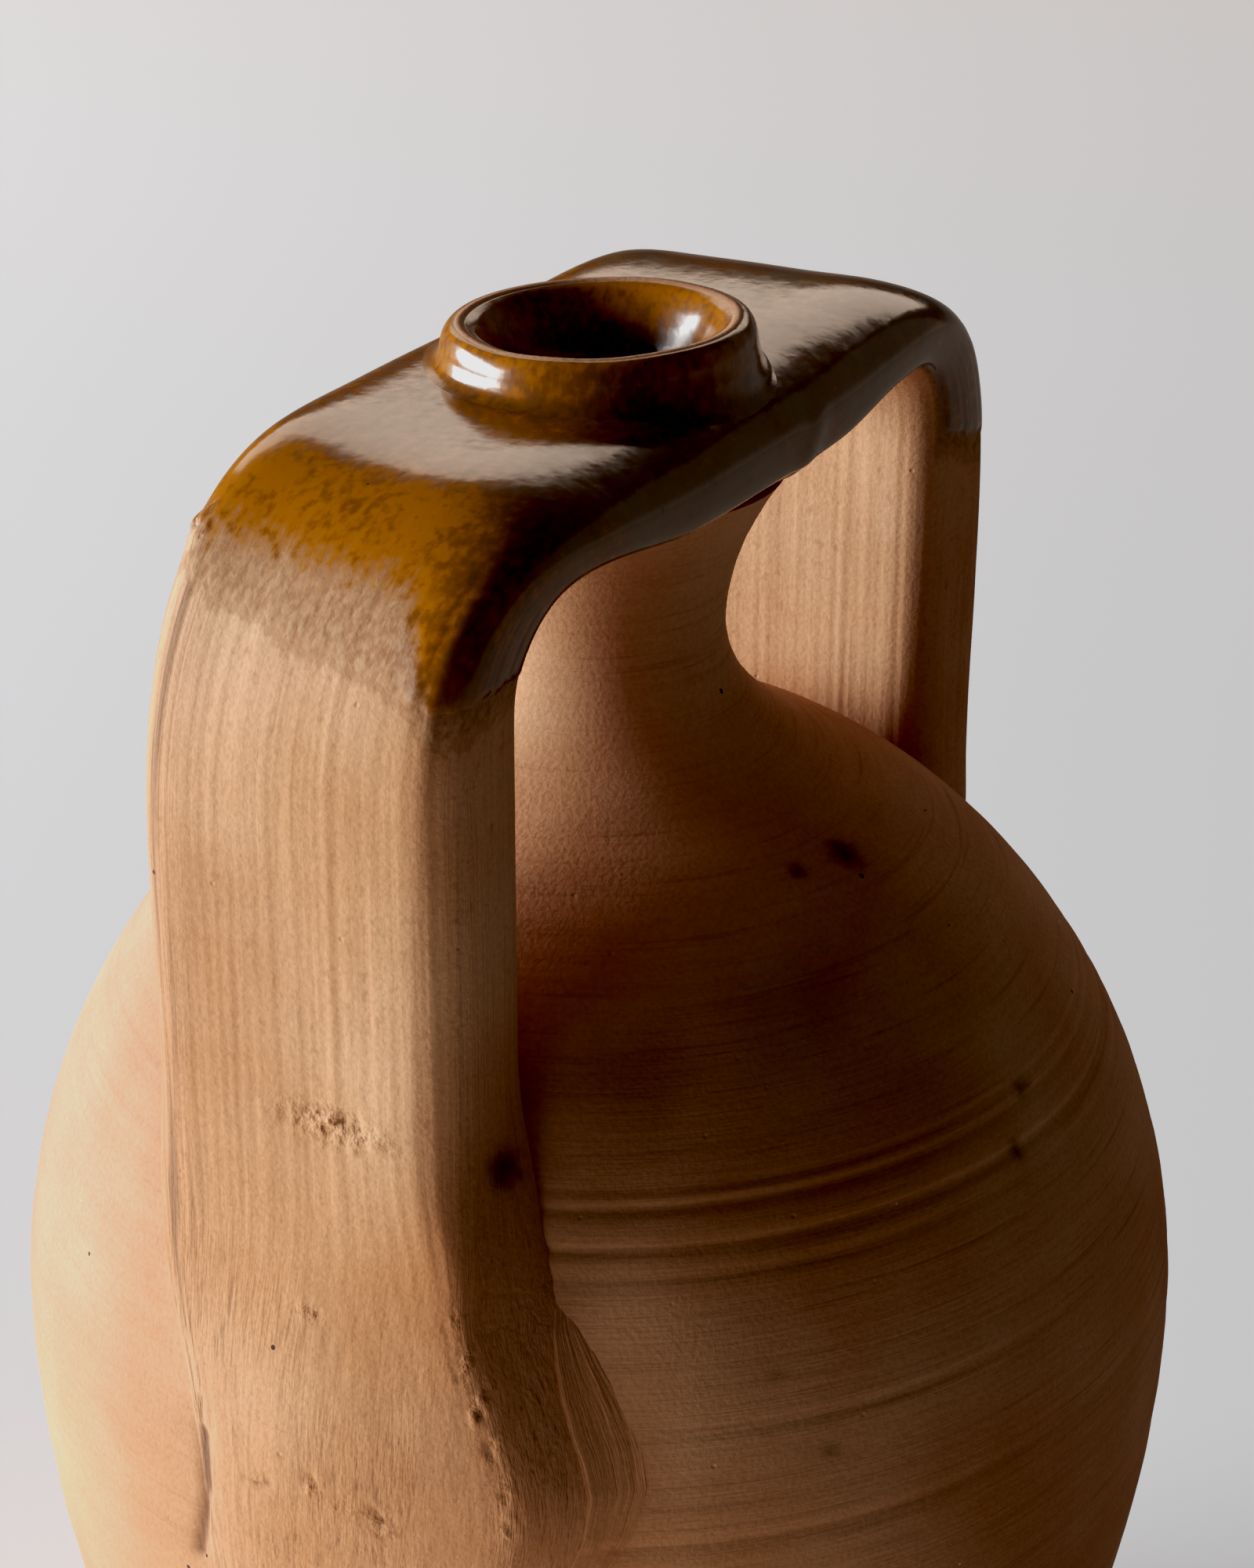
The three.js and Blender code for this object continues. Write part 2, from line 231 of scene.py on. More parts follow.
def clayLook(tree, lineWay):
    # Earthenware wiped with a wet sponge and fired bare: matt, drawn in fine drag lines by the wheel
    # or the hand, with grit, iron spots, a few lime specks, small burst pits and torn places. Its colour also
    # carries painted light on the side facing the window lamp, and painted shade in the nicks and in the hollows of
    # torn clay.
    place = addNode(tree, "TexCoord").outputs["Object"]
    marks = {name: addNode(tree, "Attribute", None, {"attribute_name": name}).outputs["Fac"]
             for name in ("paleLitSide", "toast", "drag", "stainAndShade", "tornAndShade")}
    source = place
    if lineWay == "hand":
        source = addNode(tree, "Attribute", None, {"attribute_name": "run"}).outputs["Vector"]
    drawn = {}
    for name, detail in (("blotch", 4.0), ("grit", 3.0), ("tear", 3.0)):
        drawn[name] = addNode(tree, "TexNoise", {"Vector": place, "Scale": 1 / (clayGrain[name] * mm),
                                                 "Detail": detail}).outputs["Fac"]
    for name, detail in (("line", 4.5), ("hair", 2.5)):
        across, along = 1 / (clayGrain[name] * mm), 1 / (clayGrain[name + "Run"] * mm)
        scale = (along, along, across) if lineWay == "wheel" else (across, across, along)
        stretched = addNode(tree, "Mapping", {"Vector": source, "Scale": scale}).outputs["Vector"]
        drawn[name] = addNode(tree, "TexNoise", {"Vector": stretched, "Scale": 1.0, "Detail": detail,
                                                 "Roughness": 0.8}).outputs["Fac"]
    colour = addNode(tree, "ValToRGB", {"Fac": drawn["blotch"]}, None,
                     ((0.32, tones["deep"]), (0.5, tones["body"]), (0.68, tones["pale"]))).outputs["Color"]
    # painted light: the clay turns to the paler buff on the side facing the window lamp
    for mark, tone in (("paleLitSide", "litSideBuff"), ("toast", "toast")):
        colour = addNode(tree, "Mix", {0: marks[mark], 6: colour, 7: tones[tone]}, rgba).outputs[2]
    for name, share, low, middle, high in (("line", 1.0, 0.455, 0.5, 0.54), ("hair", marks["drag"], 0.25, 0.43, 0.56),
                                           ("grit", 1.0, 0.44, 0.5, 0.55)):
        streak = addNode(tree, "ValToRGB", {"Fac": drawn[name]}, None, ((0.3, low), (middle, 0.5), (0.7, high)))
        colour = addNode(tree, "Mix", {0: share, 6: colour, 7: streak.outputs["Color"]},
                         rgba | {"blend_type": "OVERLAY"}).outputs[2]
    specks = addNode(tree, "TexVoronoi", {"Vector": place, "Scale": 1 / (clayGrain["speck"] * mm)})
    chance = addNode(tree, "SeparateColor", {"Color": specks.outputs["Color"]})
    for channel, least, size, tone in (("Green", 0.82, 0.05, "lime"), ("Red", 0.78, 0.07, "ironAndShade")):
        edge = addNode(tree, "MapRange", {0: chance.outputs[channel], 1: least, 2: 1.0, 3: 0.0, 4: size}).outputs[0]
        spot = addNode(tree, "Math", {0: specks.outputs["Distance"], 1: edge}, {"operation": "LESS_THAN"}).outputs[0]
        colour = addNode(tree, "Mix", {0: spot, 6: colour, 7: tones[tone]}, rgba).outputs[2]
    # painted shade: the hollows between the lumps of torn clay darken towards the torn tone
    crackShade = addNode(tree, "MapRange", {0: drawn["tear"], 1: 0.5, 2: 0.36, 3: 0.0, 4: 1.0}, eased).outputs[0]
    crackShade = addNode(tree, "Math", {0: crackShade, 1: marks["tornAndShade"]}, {"operation": "MULTIPLY"}).outputs[0]
    # the iron tone carries the real stains and specks, and also the painted shade in the nicks
    for share, tone in ((crackShade, "tornAndShade"), (marks["stainAndShade"], "ironAndShade")):
        colour = addNode(tree, "Mix", {0: share, 6: colour, 7: tones[tone]}, rgba).outputs[2]
    pits = addNode(tree, "TexVoronoi", {"Vector": place, "Scale": 1 / (clayGrain["pit"] * mm)}).outputs["Distance"]
    drawn["pit"] = addNode(tree, "MapRange", {0: pits, 1: 0.01, 2: 0.055, 3: 0.0, 4: 1.0}).outputs[0]
    normal = {}
    for name, share in (("line", 0.5), ("hair", marks["drag"]), ("grit", 0.5), ("pit", 0.5), ("tear", marks["tornAndShade"])):
        relief = {"Height": drawn[name], "Strength": share, "Distance": clayDepth[name] * mm}
        normal = {"Normal": addNode(tree, "Bump", relief | normal).outputs["Normal"]}
    return {"place": place, "source": source, "hairs": drawn["hair"], "colour": colour, "normal": normal["Normal"]}


def bareClay(name, lineWay):
    material, tree = newMaterial(name)
    clay = clayLook(tree, lineWay)
    shader = addNode(tree, "BsdfPrincipled", {"Base Color": clay["colour"], "Normal": clay["normal"], "Roughness": 0.88,
                                              "IOR": 1.45, "Specular IOR Level": 0.25})
    addNode(tree, "OutputMaterial", {"Surface": shader.outputs["BSDF"]})
    return material


glazeGrain = {"cloud": 15, "mottle": 2.2, "pin": 5.0, "ashAndSheen": 22}
glazeDepth = {"ripple": 0.22, "mottle": 0.02}


def glazedClay(name, lineWay, rippleSize=9, leastRough=0.1):
    # Honey glaze brushed over the same clay and fired glossy. The depth mark runs from amber where it is thin
    # to nearly black where it pools; the cover mark lets a dry brush break it up until bare clay is left.
    material, tree = newMaterial(name)
    clay = clayLook(tree, lineWay)
    place = clay["place"]
    cover, depth, ashAndSheen = (addNode(tree, "Attribute", None, {"attribute_name": mark}).outputs["Fac"]
                         for mark in ("cover", "depth", "ashAndSheen"))
    noises = {}
    for key, size in (("cloud", glazeGrain["cloud"]), ("mottle", glazeGrain["mottle"]), ("ripple", rippleSize)):
        noises[key] = addNode(tree, "TexNoise", {"Vector": place, "Scale": 1 / (size * mm),
                                                 "Detail": 3.0}).outputs["Fac"]
    # brush crumbs are drawn out along the strap
    drawn = addNode(tree, "Mapping", {"Vector": clay["source"], "Scale": (1.0, 1.0, 0.55)}).outputs["Vector"]
    noises["crumb"] = addNode(tree, "TexNoise", {"Vector": drawn, "Scale": 1 / (clayGrain["crumb"] * mm),
                                                 "Detail": 2.0}).outputs["Fac"]
    thick = depth
    for key, share in (("cloud", 0.8), ("mottle", 1.15), ("crumb", 0.8)):
        thick = addNode(tree, "Math", {0: noises[key], 1: share, 2: thick}, weigh).outputs[0]
    thick = addNode(tree, "Math", {0: thick, 1: 1.4}, {"operation": "SUBTRACT"}).outputs[0]
    gloss = addNode(tree, "ValToRGB", {"Fac": thick}, None, ((0.05, tones["amber"]), (0.35, tones["honey"]),
                                                             (0.65, tones["brown"]), (0.95, tones["pool"])))
    gloss = gloss.outputs["Color"]
    pins = addNode(tree, "TexVoronoi", {"Vector": place, "Scale": 1 / (glazeGrain["pin"] * mm)})
    chance = addNode(tree, "SeparateColor", {"Color": pins.outputs["Color"]}).outputs["Red"]
    pinEdge = addNode(tree, "MapRange", {0: chance, 1: 0.4, 2: 1.0, 3: 0.0, 4: 0.085}).outputs[0]
    pin = addNode(tree, "Math", {0: pins.outputs["Distance"], 1: pinEdge}, {"operation": "LESS_THAN"}).outputs[0]
    # the ash tone also carries the painted sheen along the near edge
    for share, tone in ((ashAndSheen, "ashAndSheen"), (pin, "pool")):
        gloss = addNode(tree, "Mix", {0: share, 6: gloss, 7: tones[tone]}, rgba).outputs[2]
    # the crumbly film left by the dry brush, its darker lower line, then the full glaze
    ragged = addNode(tree, "Math", {0: clay["hairs"], 1: 0.4, 2: -0.95}, weigh).outputs[0]
    for key, share in (("mottle", 0.7), ("crumb", 0.8)):
        ragged = addNode(tree, "Math", {0: noises[key], 1: share, 2: ragged}, weigh).outputs[0]
    edge = addNode(tree, "Math", {0: ragged, 1: 0.35, 2: cover}, weigh).outputs[0]
    film = addNode(tree, "MapRange", {0: edge, 1: 0.06, 2: 0.34, 3: 0.0, 4: 0.8}, eased).outputs[0]
    speckled = addNode(tree, "ValToRGB", {"Fac": noises["crumb"]}, None, ((0.4, tones["wash"]), (0.62, tones["fleck"])))
    tide = addNode(tree, "ValToRGB", {"Fac": edge}, None, ((0.03, 0.0), (0.12, 0.45), (0.3, 0.0))).outputs["Color"]
    edge = addNode(tree, "Math", {0: ragged, 1: cover}, {"operation": "ADD"}).outputs[0]
    full = addNode(tree, "MapRange", {0: edge, 1: 0.35, 2: 1.15, 3: 0.0, 4: 1.0}, eased).outputs[0]
    colour = clay["colour"]
    for share, tone in ((film, speckled.outputs["Color"]), (tide, tones["wash"]), (full, gloss)):
        colour = addNode(tree, "Mix", {0: share, 6: colour, 7: tone}, rgba).outputs[2]
    rough = addNode(tree, "MapRange", {0: full, 1: 0.0, 2: 1.0, 3: 0.8, 4: leastRough}).outputs[0]
    haze = addNode(tree, "MapRange", {0: noises["mottle"], 1: 0.35, 2: 0.75, 3: 0.0, 4: 0.08}).outputs[0]
    rough = addNode(tree, "Math", {0: rough, 1: haze}, {"operation": "ADD"}).outputs[0]
    wave = {}
    for key in ("ripple", "mottle"):
        relief = {"Height": noises[key], "Strength": 0.5, "Distance": glazeDepth[key] * mm}
        wave = {"Normal": addNode(tree, "Bump", relief | wave).outputs["Normal"]}
    normal = addNode(tree, "Mix", {0: full, 4: clay["normal"], 5: wave["Normal"]}, {"data_type": "VECTOR"}).outputs[1]
    shine = addNode(tree, "MapRange", {0: full, 1: 0.0, 2: 1.0, 3: 0.2, 4: 0.5}).outputs[0]
    shader = addNode(tree, "BsdfPrincipled", {"Base Color": colour, "Roughness": rough, "Specular IOR Level": shine,
                                              "Normal": normal, "IOR": 1.5})
    addNode(tree, "OutputMaterial", {"Surface": shader.outputs["BSDF"]})
    return material


thrownClay = bareClay("terracotta_thrown_and_wiped", "wheel")
pulledClay = glazedClay("terracotta_pulled_and_wiped", "hand")
smearedClay = bareClay("terracotta_thumbed", "hand")
brushedGlaze = glazedClay("honey_glaze_brushed", "hand")
ringGlaze = glazedClay("honey_glaze_on_the_ring", "wheel", 5, 0.17)
print("materials made")

# body: the thrown wall, the shoulder and the neck share one profile and one relief
jar = {
    "belly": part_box("lower_wall")[1].x / mm, "bellyHeight": 128, "shoulderRise": 107, "baseRadius": 52, "wall": 6,
    "floor": 8, "seam": 181, "scarf": 3, "flare": 42, "waist": 21, "waistRise": 25, "bore": 15,
    "ledge": 28, "ledgeRise": 24.5, "ledgeSpread": 12, "spigot": 21, "bridge": 17.5, "seat": 3,
    "steps": 240,
}
jar["lowerRise"] = jar["bellyHeight"] / math.sqrt(1 - (jar["baseRadius"] / jar["belly"]) ** 2)


def bodyRadius(height, inset=0.0):
    height = np.asarray(height, float)
    rise = np.where(height < jar["bellyHeight"], jar["lowerRise"], jar["shoulderRise"]) - inset
    share = (height - jar["bellyHeight"]) / rise
    return (jar["belly"] - inset) * np.sqrt(np.clip(1 - share * share, 0, None))


def shoulderHeight(radius, inset=0.0):
    share = radius / (jar["belly"] - inset)
    return jar["bellyHeight"] + (jar["shoulderRise"] - inset) * math.sqrt(1 - share * share)


flareHeight = shoulderHeight(jar["flare"])
waistHeight = flareHeight + jar["waistRise"]
ledgeHeight = waistHeight + jar["ledgeRise"]
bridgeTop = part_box("front_strap")[1].z / mm
bridgeUnder = bridgeTop - jar["bridge"]


def bezier(first, middle, last, steps):
    first, middle, last = (np.array(point, float) for point in (first, middle, last))
    return [tuple((1 - s) ** 2 * first + 2 * s * (1 - s) * middle + s * s * last)
            for s in np.linspace(0, 1, steps + 1)]


throwing = {
    # height, depth and half width of the marked grooves
    "grooves": ((139, 0.25, 1.0), (157, 0.3, 0.9), (178.8, 0.4, 0.7), (182.4, 0.85, 0.8), (187.6, 0.75, 0.8),
                (190, 0.4, 0.6), (211, 0.25, 0.6), (213.4, 0.22, 0.6), (215.6, 0.28, 0.6), (218, 0.25, 0.6)),
    "ridge": 0.13, "ridgePitch": 6, "line": 0.06, "linePitch": 2.2, "oval": 0.7, "drift": 0.7, "worn": 0.85,
}
# thumb strokes beside each strap's foot, and the paler side, which is painted light on the side facing the window lamp
smears = {"bearings": (-140, 40), "spread": 13, "low": 108, "high": 176, "depth": 0.12, "stroke": 8, "length": 34}
paleLitSide = {"bearing": 118, "least": -0.1, "most": 0.4, "lump": 60, "cloud": 0.22}
frontOnly = -80     # nicks and torn clay lie where x is below this
# nicks round the front foot: their ends, across and up, then radius and depth
gouges = (
    ((14.4, 151), (13.8, 145), 0.8, 0.5), ((13.8, 145), (13.2, 136), 1.9, 0.9), ((13.2, 136), (16.0, 122), 1.5, 0.8),
    ((4.2, 141.6), (0.0, 142.4), 0.5, 0.5), ((-0.2, 142.7), (-0.9, 143.2), 0.6, 0.6),
    ((-8.2, 147.2), (-9.4, 145.6), 0.5, 0.5), ((-19.2, 144.6), (-20.6, 142.6), 0.5, 0.6),
)
# torn clay on the front strap: its middle, across and up, its spread, and how rough it is
tears = (
    ((-8, 202.5), (9, 2.8), 1.0), ((-5.4, 171.7), (3.5, 1.0), 0.7), ((1.2, 142.6), (2.5, 0.9), 0.6),
    ((-8.8, 145), (2, 1.4), 0.6), ((-14, 143), (4, 2), 0.4), ((-20.5, 142), (3, 2.2), 0.6),
    ((-29, 176), (1, 2.5), 0.4), ((-31.4, 169.5), (1.1, 3), 0.7), ((-34, 163.5), (1.2, 3), 0.7),
    ((-36.8, 157.5), (1.2, 3), 0.55), ((-39, 151), (1.2, 3), 0.55), ((-40, 145), (1.4, 2.5), 0.5),
)
# iron blots and smoke clouds: place, radius and strength
blots = (
    ((-6.3, -48.6, 221.2), 3.0, 0.8), ((-16.5, -45.5, 221.6), 1.7, 0.7), ((-7.9, -81.7, 189.0), 1.8, 0.7),
    ((-15.8, -84.6, 182.5), 1.7, 0.7), ((-65.5, -67.7, 163.7), 1.2, 0.5), ((-61.3, -76.1, 150.7), 1.2, 0.5),
    ((-79.0, -29.0, 195.0), 3.4, 0.8), ((-36.9, -54.9, 208.2), 11, 0.22), ((-59, -40.5, 202.7), 9, 0.25),
)


def facingWindowLamp(points):
    # 1 on the side that faces the window lamp, 0 on the other
    return 0.5 + 0.5 * np.cos(np.arctan2(points[:, 1], points[:, 0]) - math.radians(paleLitSide["bearing"]))


def gougeDepth(points):
    depth, flat = np.zeros(len(points)), points[:, 1:]
    for start, end, radius, deep in gouges:
        start, end = np.array(start), np.array(end)
        reach = end - start
        share = np.clip((flat - start) @ reach / (reach @ reach), 0, 1)
        gap = np.linalg.norm(flat - start - share[:, None] * reach, axis=1)
        depth = np.maximum(depth, deep * np.exp(-(gap / radius) ** 2))
    return depth * (points[:, 0] < frontOnly)


def tornClay(points):
    rough = np.zeros(len(points))
    for (middle, height), (wide, tall), strength in tears:
        spread = ((points[:, 1] - middle) / wide) ** 2 + ((points[:, 2] - height) / tall) ** 2
        rough = np.maximum(rough, strength * np.exp(-spread))
    return rough * (points[:, 0] < frontOnly)


def markClay(piece, toast=(0.3, 170, 120), drag=0.5):
    # iron blots, dirt and painted shade in the nicks, the paler side painted as light from the window lamp, the browner
    # foot, and how plainly the hair lines show
    points = readPoints(piece)
    # painted shade and dirt: the nicks darken with their depth
    stainAndShade = 0.75 * smooth(0.2, 0.9, gougeDepth(points))
    for place, size, strength in blots:
        gap = np.linalg.norm(points - np.array(place), axis=1) / size
        gap *= 1 + 0.35 * grain(*(points.T / (0.6 * size)))
        stainAndShade = np.maximum(stainAndShade, strength * np.exp(-gap ** 3))
    writeMark(piece, "stainAndShade", stainAndShade)
    most, high, low = toast
    browned = most * smooth(high, low, points[:, 2]) * (1 + 0.5 * grain(*(points.T / 35), 9.0))
    writeMark(piece, "toast", np.clip(browned, 0, 1))
    writeMark(piece, "tornAndShade", np.zeros(len(points)))
    facing = facingWindowLamp(points)
    writeMark(piece, "drag", drag * (1 - 0.75 * facing ** 2))
    # painted light: paler towards the window lamp, with random pale clouds on top
    paleness = mixOf(paleLitSide["least"], paleLitSide["most"], facing ** 3)
    paleness += paleLitSide["cloud"] * grain(*(points.T / paleLitSide["lump"]), 5.0)
    writeMark(piece, "paleLitSide", np.clip(paleness, 0, 1))


def throwingRelief(points):
    x, y, z = points.T
    bearing = np.arctan2(y, x)
    east, north = np.cos(bearing), np.sin(bearing)
    level = z + throwing["drift"] * grain(1.3 * east, 1.3 * north, z / 60)
    relief = throwing["ridge"] * grain(0.4 * east, 0.4 * north, level / throwing["ridgePitch"])
    relief += throwing["line"] * grain(0.9 * east, 0.9 * north, level / throwing["linePitch"], 3.1)
    relief += throwing["oval"] * grain(0.8 * east, 0.8 * north, z / 90, 11.3)
    worn = 1 - throwing["worn"] * facingWindowLamp(points) ** 2
    for height, depth, half in throwing["grooves"]:
        strength = (0.65 + 0.6 * grain(1.5 * east, 1.5 * north, 0 * z + height)) * worn
        relief -= depth * strength * np.exp(-((level - height) / half) ** 2)
    for degrees in smears["bearings"]:
        turn = np.degrees(np.angle(np.exp(1j * (bearing - math.radians(degrees)))))
        patch = np.exp(-(turn / smears["spread"]) ** 2) * smooth(smears["low"], smears["low"] + 20, z)
        patch *= 1 - smooth(smears["high"] - 18, smears["high"], z)
        stroke = grain(np.radians(turn) * jar["belly"] / smears["stroke"], z / smears["length"], 0 * z + degrees)
        relief += patch * (smears["depth"] * stroke - 0.15)
    return relief - gougeDepth(points)


def refineWall(piece, cuts, *window):
    # finer faces on the outside between two bearings and two heights
    fromTurn, toTurn, low, high = window
    faces = piece.data.polygons
    flat = np.empty(len(faces) * 3, np.float32)
    faces.foreach_get("center", flat)
    x, y, z = flat.reshape(-1, 3).T / mm
    turn = np.degrees(np.arctan2(y, x)) % 360
    inside = (turn > fromTurn) & (turn < toTurn) & (z > low) & (z < high) & (np.hypot(x, y) > bodyRadius(z) - 2)
    chooseOnly(piece, faces, inside)
    bpy.ops.mesh.select_mode(type="FACE")
    bpy.ops.mesh.subdivide(number_cuts=cuts)
    bpy.ops.mesh.select_mode(type="VERT")
    bpy.ops.object.mode_set(mode="OBJECT")


def throwPiece(name, node, outer, inner, finer=None):
    piece = spinPiece(name, list(outer) + list(inner), jar["steps"])
    if finer:
        refineWall(piece, *finer)
    points = readPoints(piece)
    radius = fromAxis(points)
    ring = np.array(outer)
    order = np.argsort(ring[:, 1])
    outside = radius > np.interp(points[:, 2], ring[order, 1], ring[order, 0]) - 1.0
    relief = np.zeros(len(points))
    relief[outside] = throwingRelief(points[outside])
    points[:, :2] *= (1 + relief / radius)[:, None]
    writePoints(piece, points)
    markClay(piece)
    finishPiece(piece, thrownClay, "terracotta", node)


lowHeights = np.concatenate([np.linspace(jar["floor"] + 0.3, 100, 70), np.linspace(100, jar["seam"], 137)[1:]])
liningHeights = np.linspace(jar["seam"] + jar["scarf"], jar["floor"] + jar["scarf"] + 0.3, 24)
throwPiece(
    "lowerWall", "lower_wall",
    [(float(bodyRadius(h)), h) for h in lowHeights],
    [(float(bodyRadius(h, jar["wall"])), h) for h in liningHeights],
    (2, 163, 180, 112, 162))     # two more cuts where the nicks lie

shoulderStart = math.asin((jar["seam"] - jar["bellyHeight"]) / jar["shoulderRise"])
shoulderEnd = math.acos(jar["flare"] / jar["belly"])
shoulderTurns = np.linspace(shoulderStart, shoulderEnd, 126)
innerFlare = jar["flare"] - jar["scarf"]
liningRise = jar["shoulderRise"] - jar["wall"]
liningStart = math.asin((jar["seam"] + jar["scarf"] - jar["bellyHeight"]) / liningRise)
liningEnd = math.acos(innerFlare / (jar["belly"] - jar["wall"]))
throwPiece(
    "shoulderWall", "shoulder",
    [(jar["belly"] * math.cos(a), jar["bellyHeight"] + jar["shoulderRise"] * math.sin(a)) for a in shoulderTurns],
    [((jar["belly"] - jar["wall"]) * math.cos(a), jar["bellyHeight"] + liningRise * math.sin(a))
     for a in np.linspace(liningEnd, liningStart, 14)])

flareSlope = jar["shoulderRise"] / jar["belly"] / math.tan(shoulderEnd)
neckFlare = bezier((jar["flare"], flareHeight),
                   (jar["waist"], flareHeight + flareSlope * (jar["flare"] - jar["waist"])),
                   (jar["waist"], waistHeight), 54)
neckSpread = bezier((jar["waist"], waistHeight), (jar["waist"], ledgeHeight - jar["ledgeSpread"]),
                    (jar["ledge"] + 2, ledgeHeight + 1), 34)
throat = bezier((jar["bore"], waistHeight), (jar["bore"], flareHeight),
                (innerFlare, shoulderHeight(innerFlare, jar["wall"])), 14)
neckTop = bridgeTop - jar["seat"]
throwPiece(
    "neckWall", "neck",
    neckFlare + neckSpread[1:],
    [(jar["spigot"], ledgeHeight + 1), (jar["spigot"], neckTop), (jar["bore"], neckTop)] + throat)

base = {"round": 2.5, "foot": 44, "hollow": 1.2, "hollowFrom": 30, "cutPitch": 4.5, "cutDepth": 0.25, "cutFrom": 60,
        "steps": 120}


def makeBase():
    # slab cut off the wheel with a wire, whose arcs stay in the underside
    edge = [(jar["baseRadius"] - base["round"] + base["round"] * math.sin(a), base["round"] * (1 - math.cos(a)))
            for a in np.linspace(0, math.pi / 2, 8)]
    rim = [(float(bodyRadius(h)), h) for h in np.linspace(base["round"], jar["floor"] + 0.3, 8)[1:]]
    top = jar["floor"] + jar["scarf"]
    inside = [(float(bodyRadius(jar["floor"], jar["wall"])), top), (0.0, top), (0.0, base["hollow"])]
    under = [(radius, base["hollow"] * float(smooth(base["foot"], base["hollowFrom"], radius)))
             for radius in np.linspace(1, jar["baseRadius"] - base["round"], 60)[:-1]]
    piece = spinPiece("baseFloor", edge + rim + inside + under, base["steps"])
    points = readPoints(piece)
    hollow = (points[:, 2] < base["hollow"] + 0.1) & (fromAxis(points) < base["foot"])
    sweep = np.hypot(points[hollow, 0] + base["cutFrom"], points[hollow, 1]) / base["cutPitch"]
    points[hollow, 2] += base["cutDepth"] * (1 + np.sin(2 * np.pi * sweep))
    writePoints(piece, points)
    markClay(piece)
    finishPiece(piece, thrownClay, "terracotta", "base_floor")


makeBase()
print("body made")

# straps: one pulled sheet from foot to foot over the bridge, cut in two at the neck
# far is +Y and near is -Y; lean is the side that the thumb pressed the foot towards
strapEnds = {
    "front": {"reach": -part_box("front_strap")[0].x / mm, "bendFar": 50, "bendNear": 35, "sign": -1, "lean": 1,
              "farBridge": 34.5, "farLeg": 27.5, "nearBridge": 31.5, "nearLeg": 27.5, "lift": 0.0},
    "rear": {"reach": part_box("rear_strap")[1].x / mm, "bendFar": 44, "bendNear": 40, "sign": 1, "lean": -1,
             "farBridge": 34.5, "farLeg": 31.5, "nearBridge": 31.5, "nearLeg": 27.5, "lift": 1.2},
}
strapForm = {
    "legThick": 26, "innerBend": 15, "arch": 4, "legEnd": 196, "footEnd": 96,
    "straightShare": 0.16, "bendShare": 0.38, "legShare": 0.61, "halfSides": (27.5, 12),
    "laneWide": 27, "laneDeep": 12, "laneLong": 290,     # scale of the drag lines over the section and the length
    "roll": 4.0, "rollFrom": 0.35, "cornerWide": 0.22, "cornerDeep": 0.62, "columns": 36, "rows": 78,
    "bury": 3.6, "toeBury": 1.0, "toeBeyond": 2.5, "bow": 0.1, "blend": 4.0,
    # half widths of the foot by height, on the side it leans to and on the other
    "footHeights": (96, 110, 125, 140, 147, 153, 165, 175, 187, 196),
    "leanWidths": (18, 26, 35, 40, 40.5, 39, 34, 30, 29, 28.8),
    "plainWidths": (11, 12.5, 14, 15.5, 17, 18.5, 24.5, 26.5, 27.5, 27.5),
    # how far the foot stands off the body by height: at the plain edge, the middle and the leaning edge
    "riseHeights": (96, 106, 118, 132, 146, 165, 180, 200),
    "plainRise": (-2.5, -1.0, 0.2, 0.8, 1.0, 0.9, 0.6, 0.5),
    "middleRise": (-2.5, -0.8, 1.2, 2.6, 3.4, 3.6, 3.6, 3.0),
    "leanRise": (-2.5, -0.6, 2.0, 4.2, 5.6, 6.6, 7.0, 7.0),
    # where the flank that the thumb drew out meets the body, by height, and how hollow it is
    "flankHeights": (96, 104, 112, 122, 132, 141, 148.6, 155, 160.6, 165, 169, 174, 180, 186, 192, 200, 208),
    "flankEdge": (18, 28, 34, 41, 46.5, 50, 51.2, 50.2, 48.4, 46.6, 44.6, 41.6, 38.4, 35.8, 33.6, 31, 29),
    "ridgeTurn": ((0, 0.69, 1), (0, 0.9, 1)), "ridgePlace": ((0, 0.78, 1), (0, 0.9, 1)),
    "flankHollow": (1.0, 1.0, 0.95, 0.9, 0.85, 0.85, 0.85, 0.9, 0.95, 1.0, 1.1, 1.2, 1.35, 1.5, 1.7, 2.0, 2.4),
}


def flankPower(height):
    return np.interp(height, strapForm["flankHeights"], strapForm["flankHollow"])


def sectionLoop(share):
    # rounded rectangle with half sides 1, walked at an even pace round the section
    wide, deep = strapForm["cornerWide"], strapForm["cornerDeep"]
    corners = []
    for sideWide, sideDeep, start in ((1, 1, 0), (-1, 1, 90), (-1, -1, 180), (1, -1, 270)):
        for turn in np.radians(np.linspace(start, start + 90, 13)):
            corners.append((sideWide * (1 - wide) + wide * math.cos(turn),
                            sideDeep * (1 - deep) + deep * math.sin(turn)))
    corners = np.array(corners + corners[:1])
    steps = np.hypot(*(np.diff(corners, axis=0) * strapForm["halfSides"]).T)
    pace = np.concatenate([[0], np.cumsum(steps)]) / steps.sum()
    return np.interp(share, pace, corners[:, 0]), np.interp(share, pace, corners[:, 1])


def smoothMax(one, other, blend):
    return (one + other + np.sqrt((one - other) ** 2 + blend * blend)) / 2


def footRise(lean, height):
    # lean runs from -1 at the plain edge to 1 at the edge that the foot leans to
    form = strapForm
    plain, middle, steep = (np.interp(height, form["riseHeights"], form[name])
                            for name in ("plainRise", "middleRise", "leanRise"))
    return np.where(lean < 0, mixOf(middle, plain, -lean), mixOf(middle, steep, lean))


def topRoll(across):
    # how far the bridge's top rolls down towards its near edge
    start = strapForm["rollFrom"]
    return strapForm["roll"] * np.clip((across - start) / (1 - start), 0, 1) ** 2


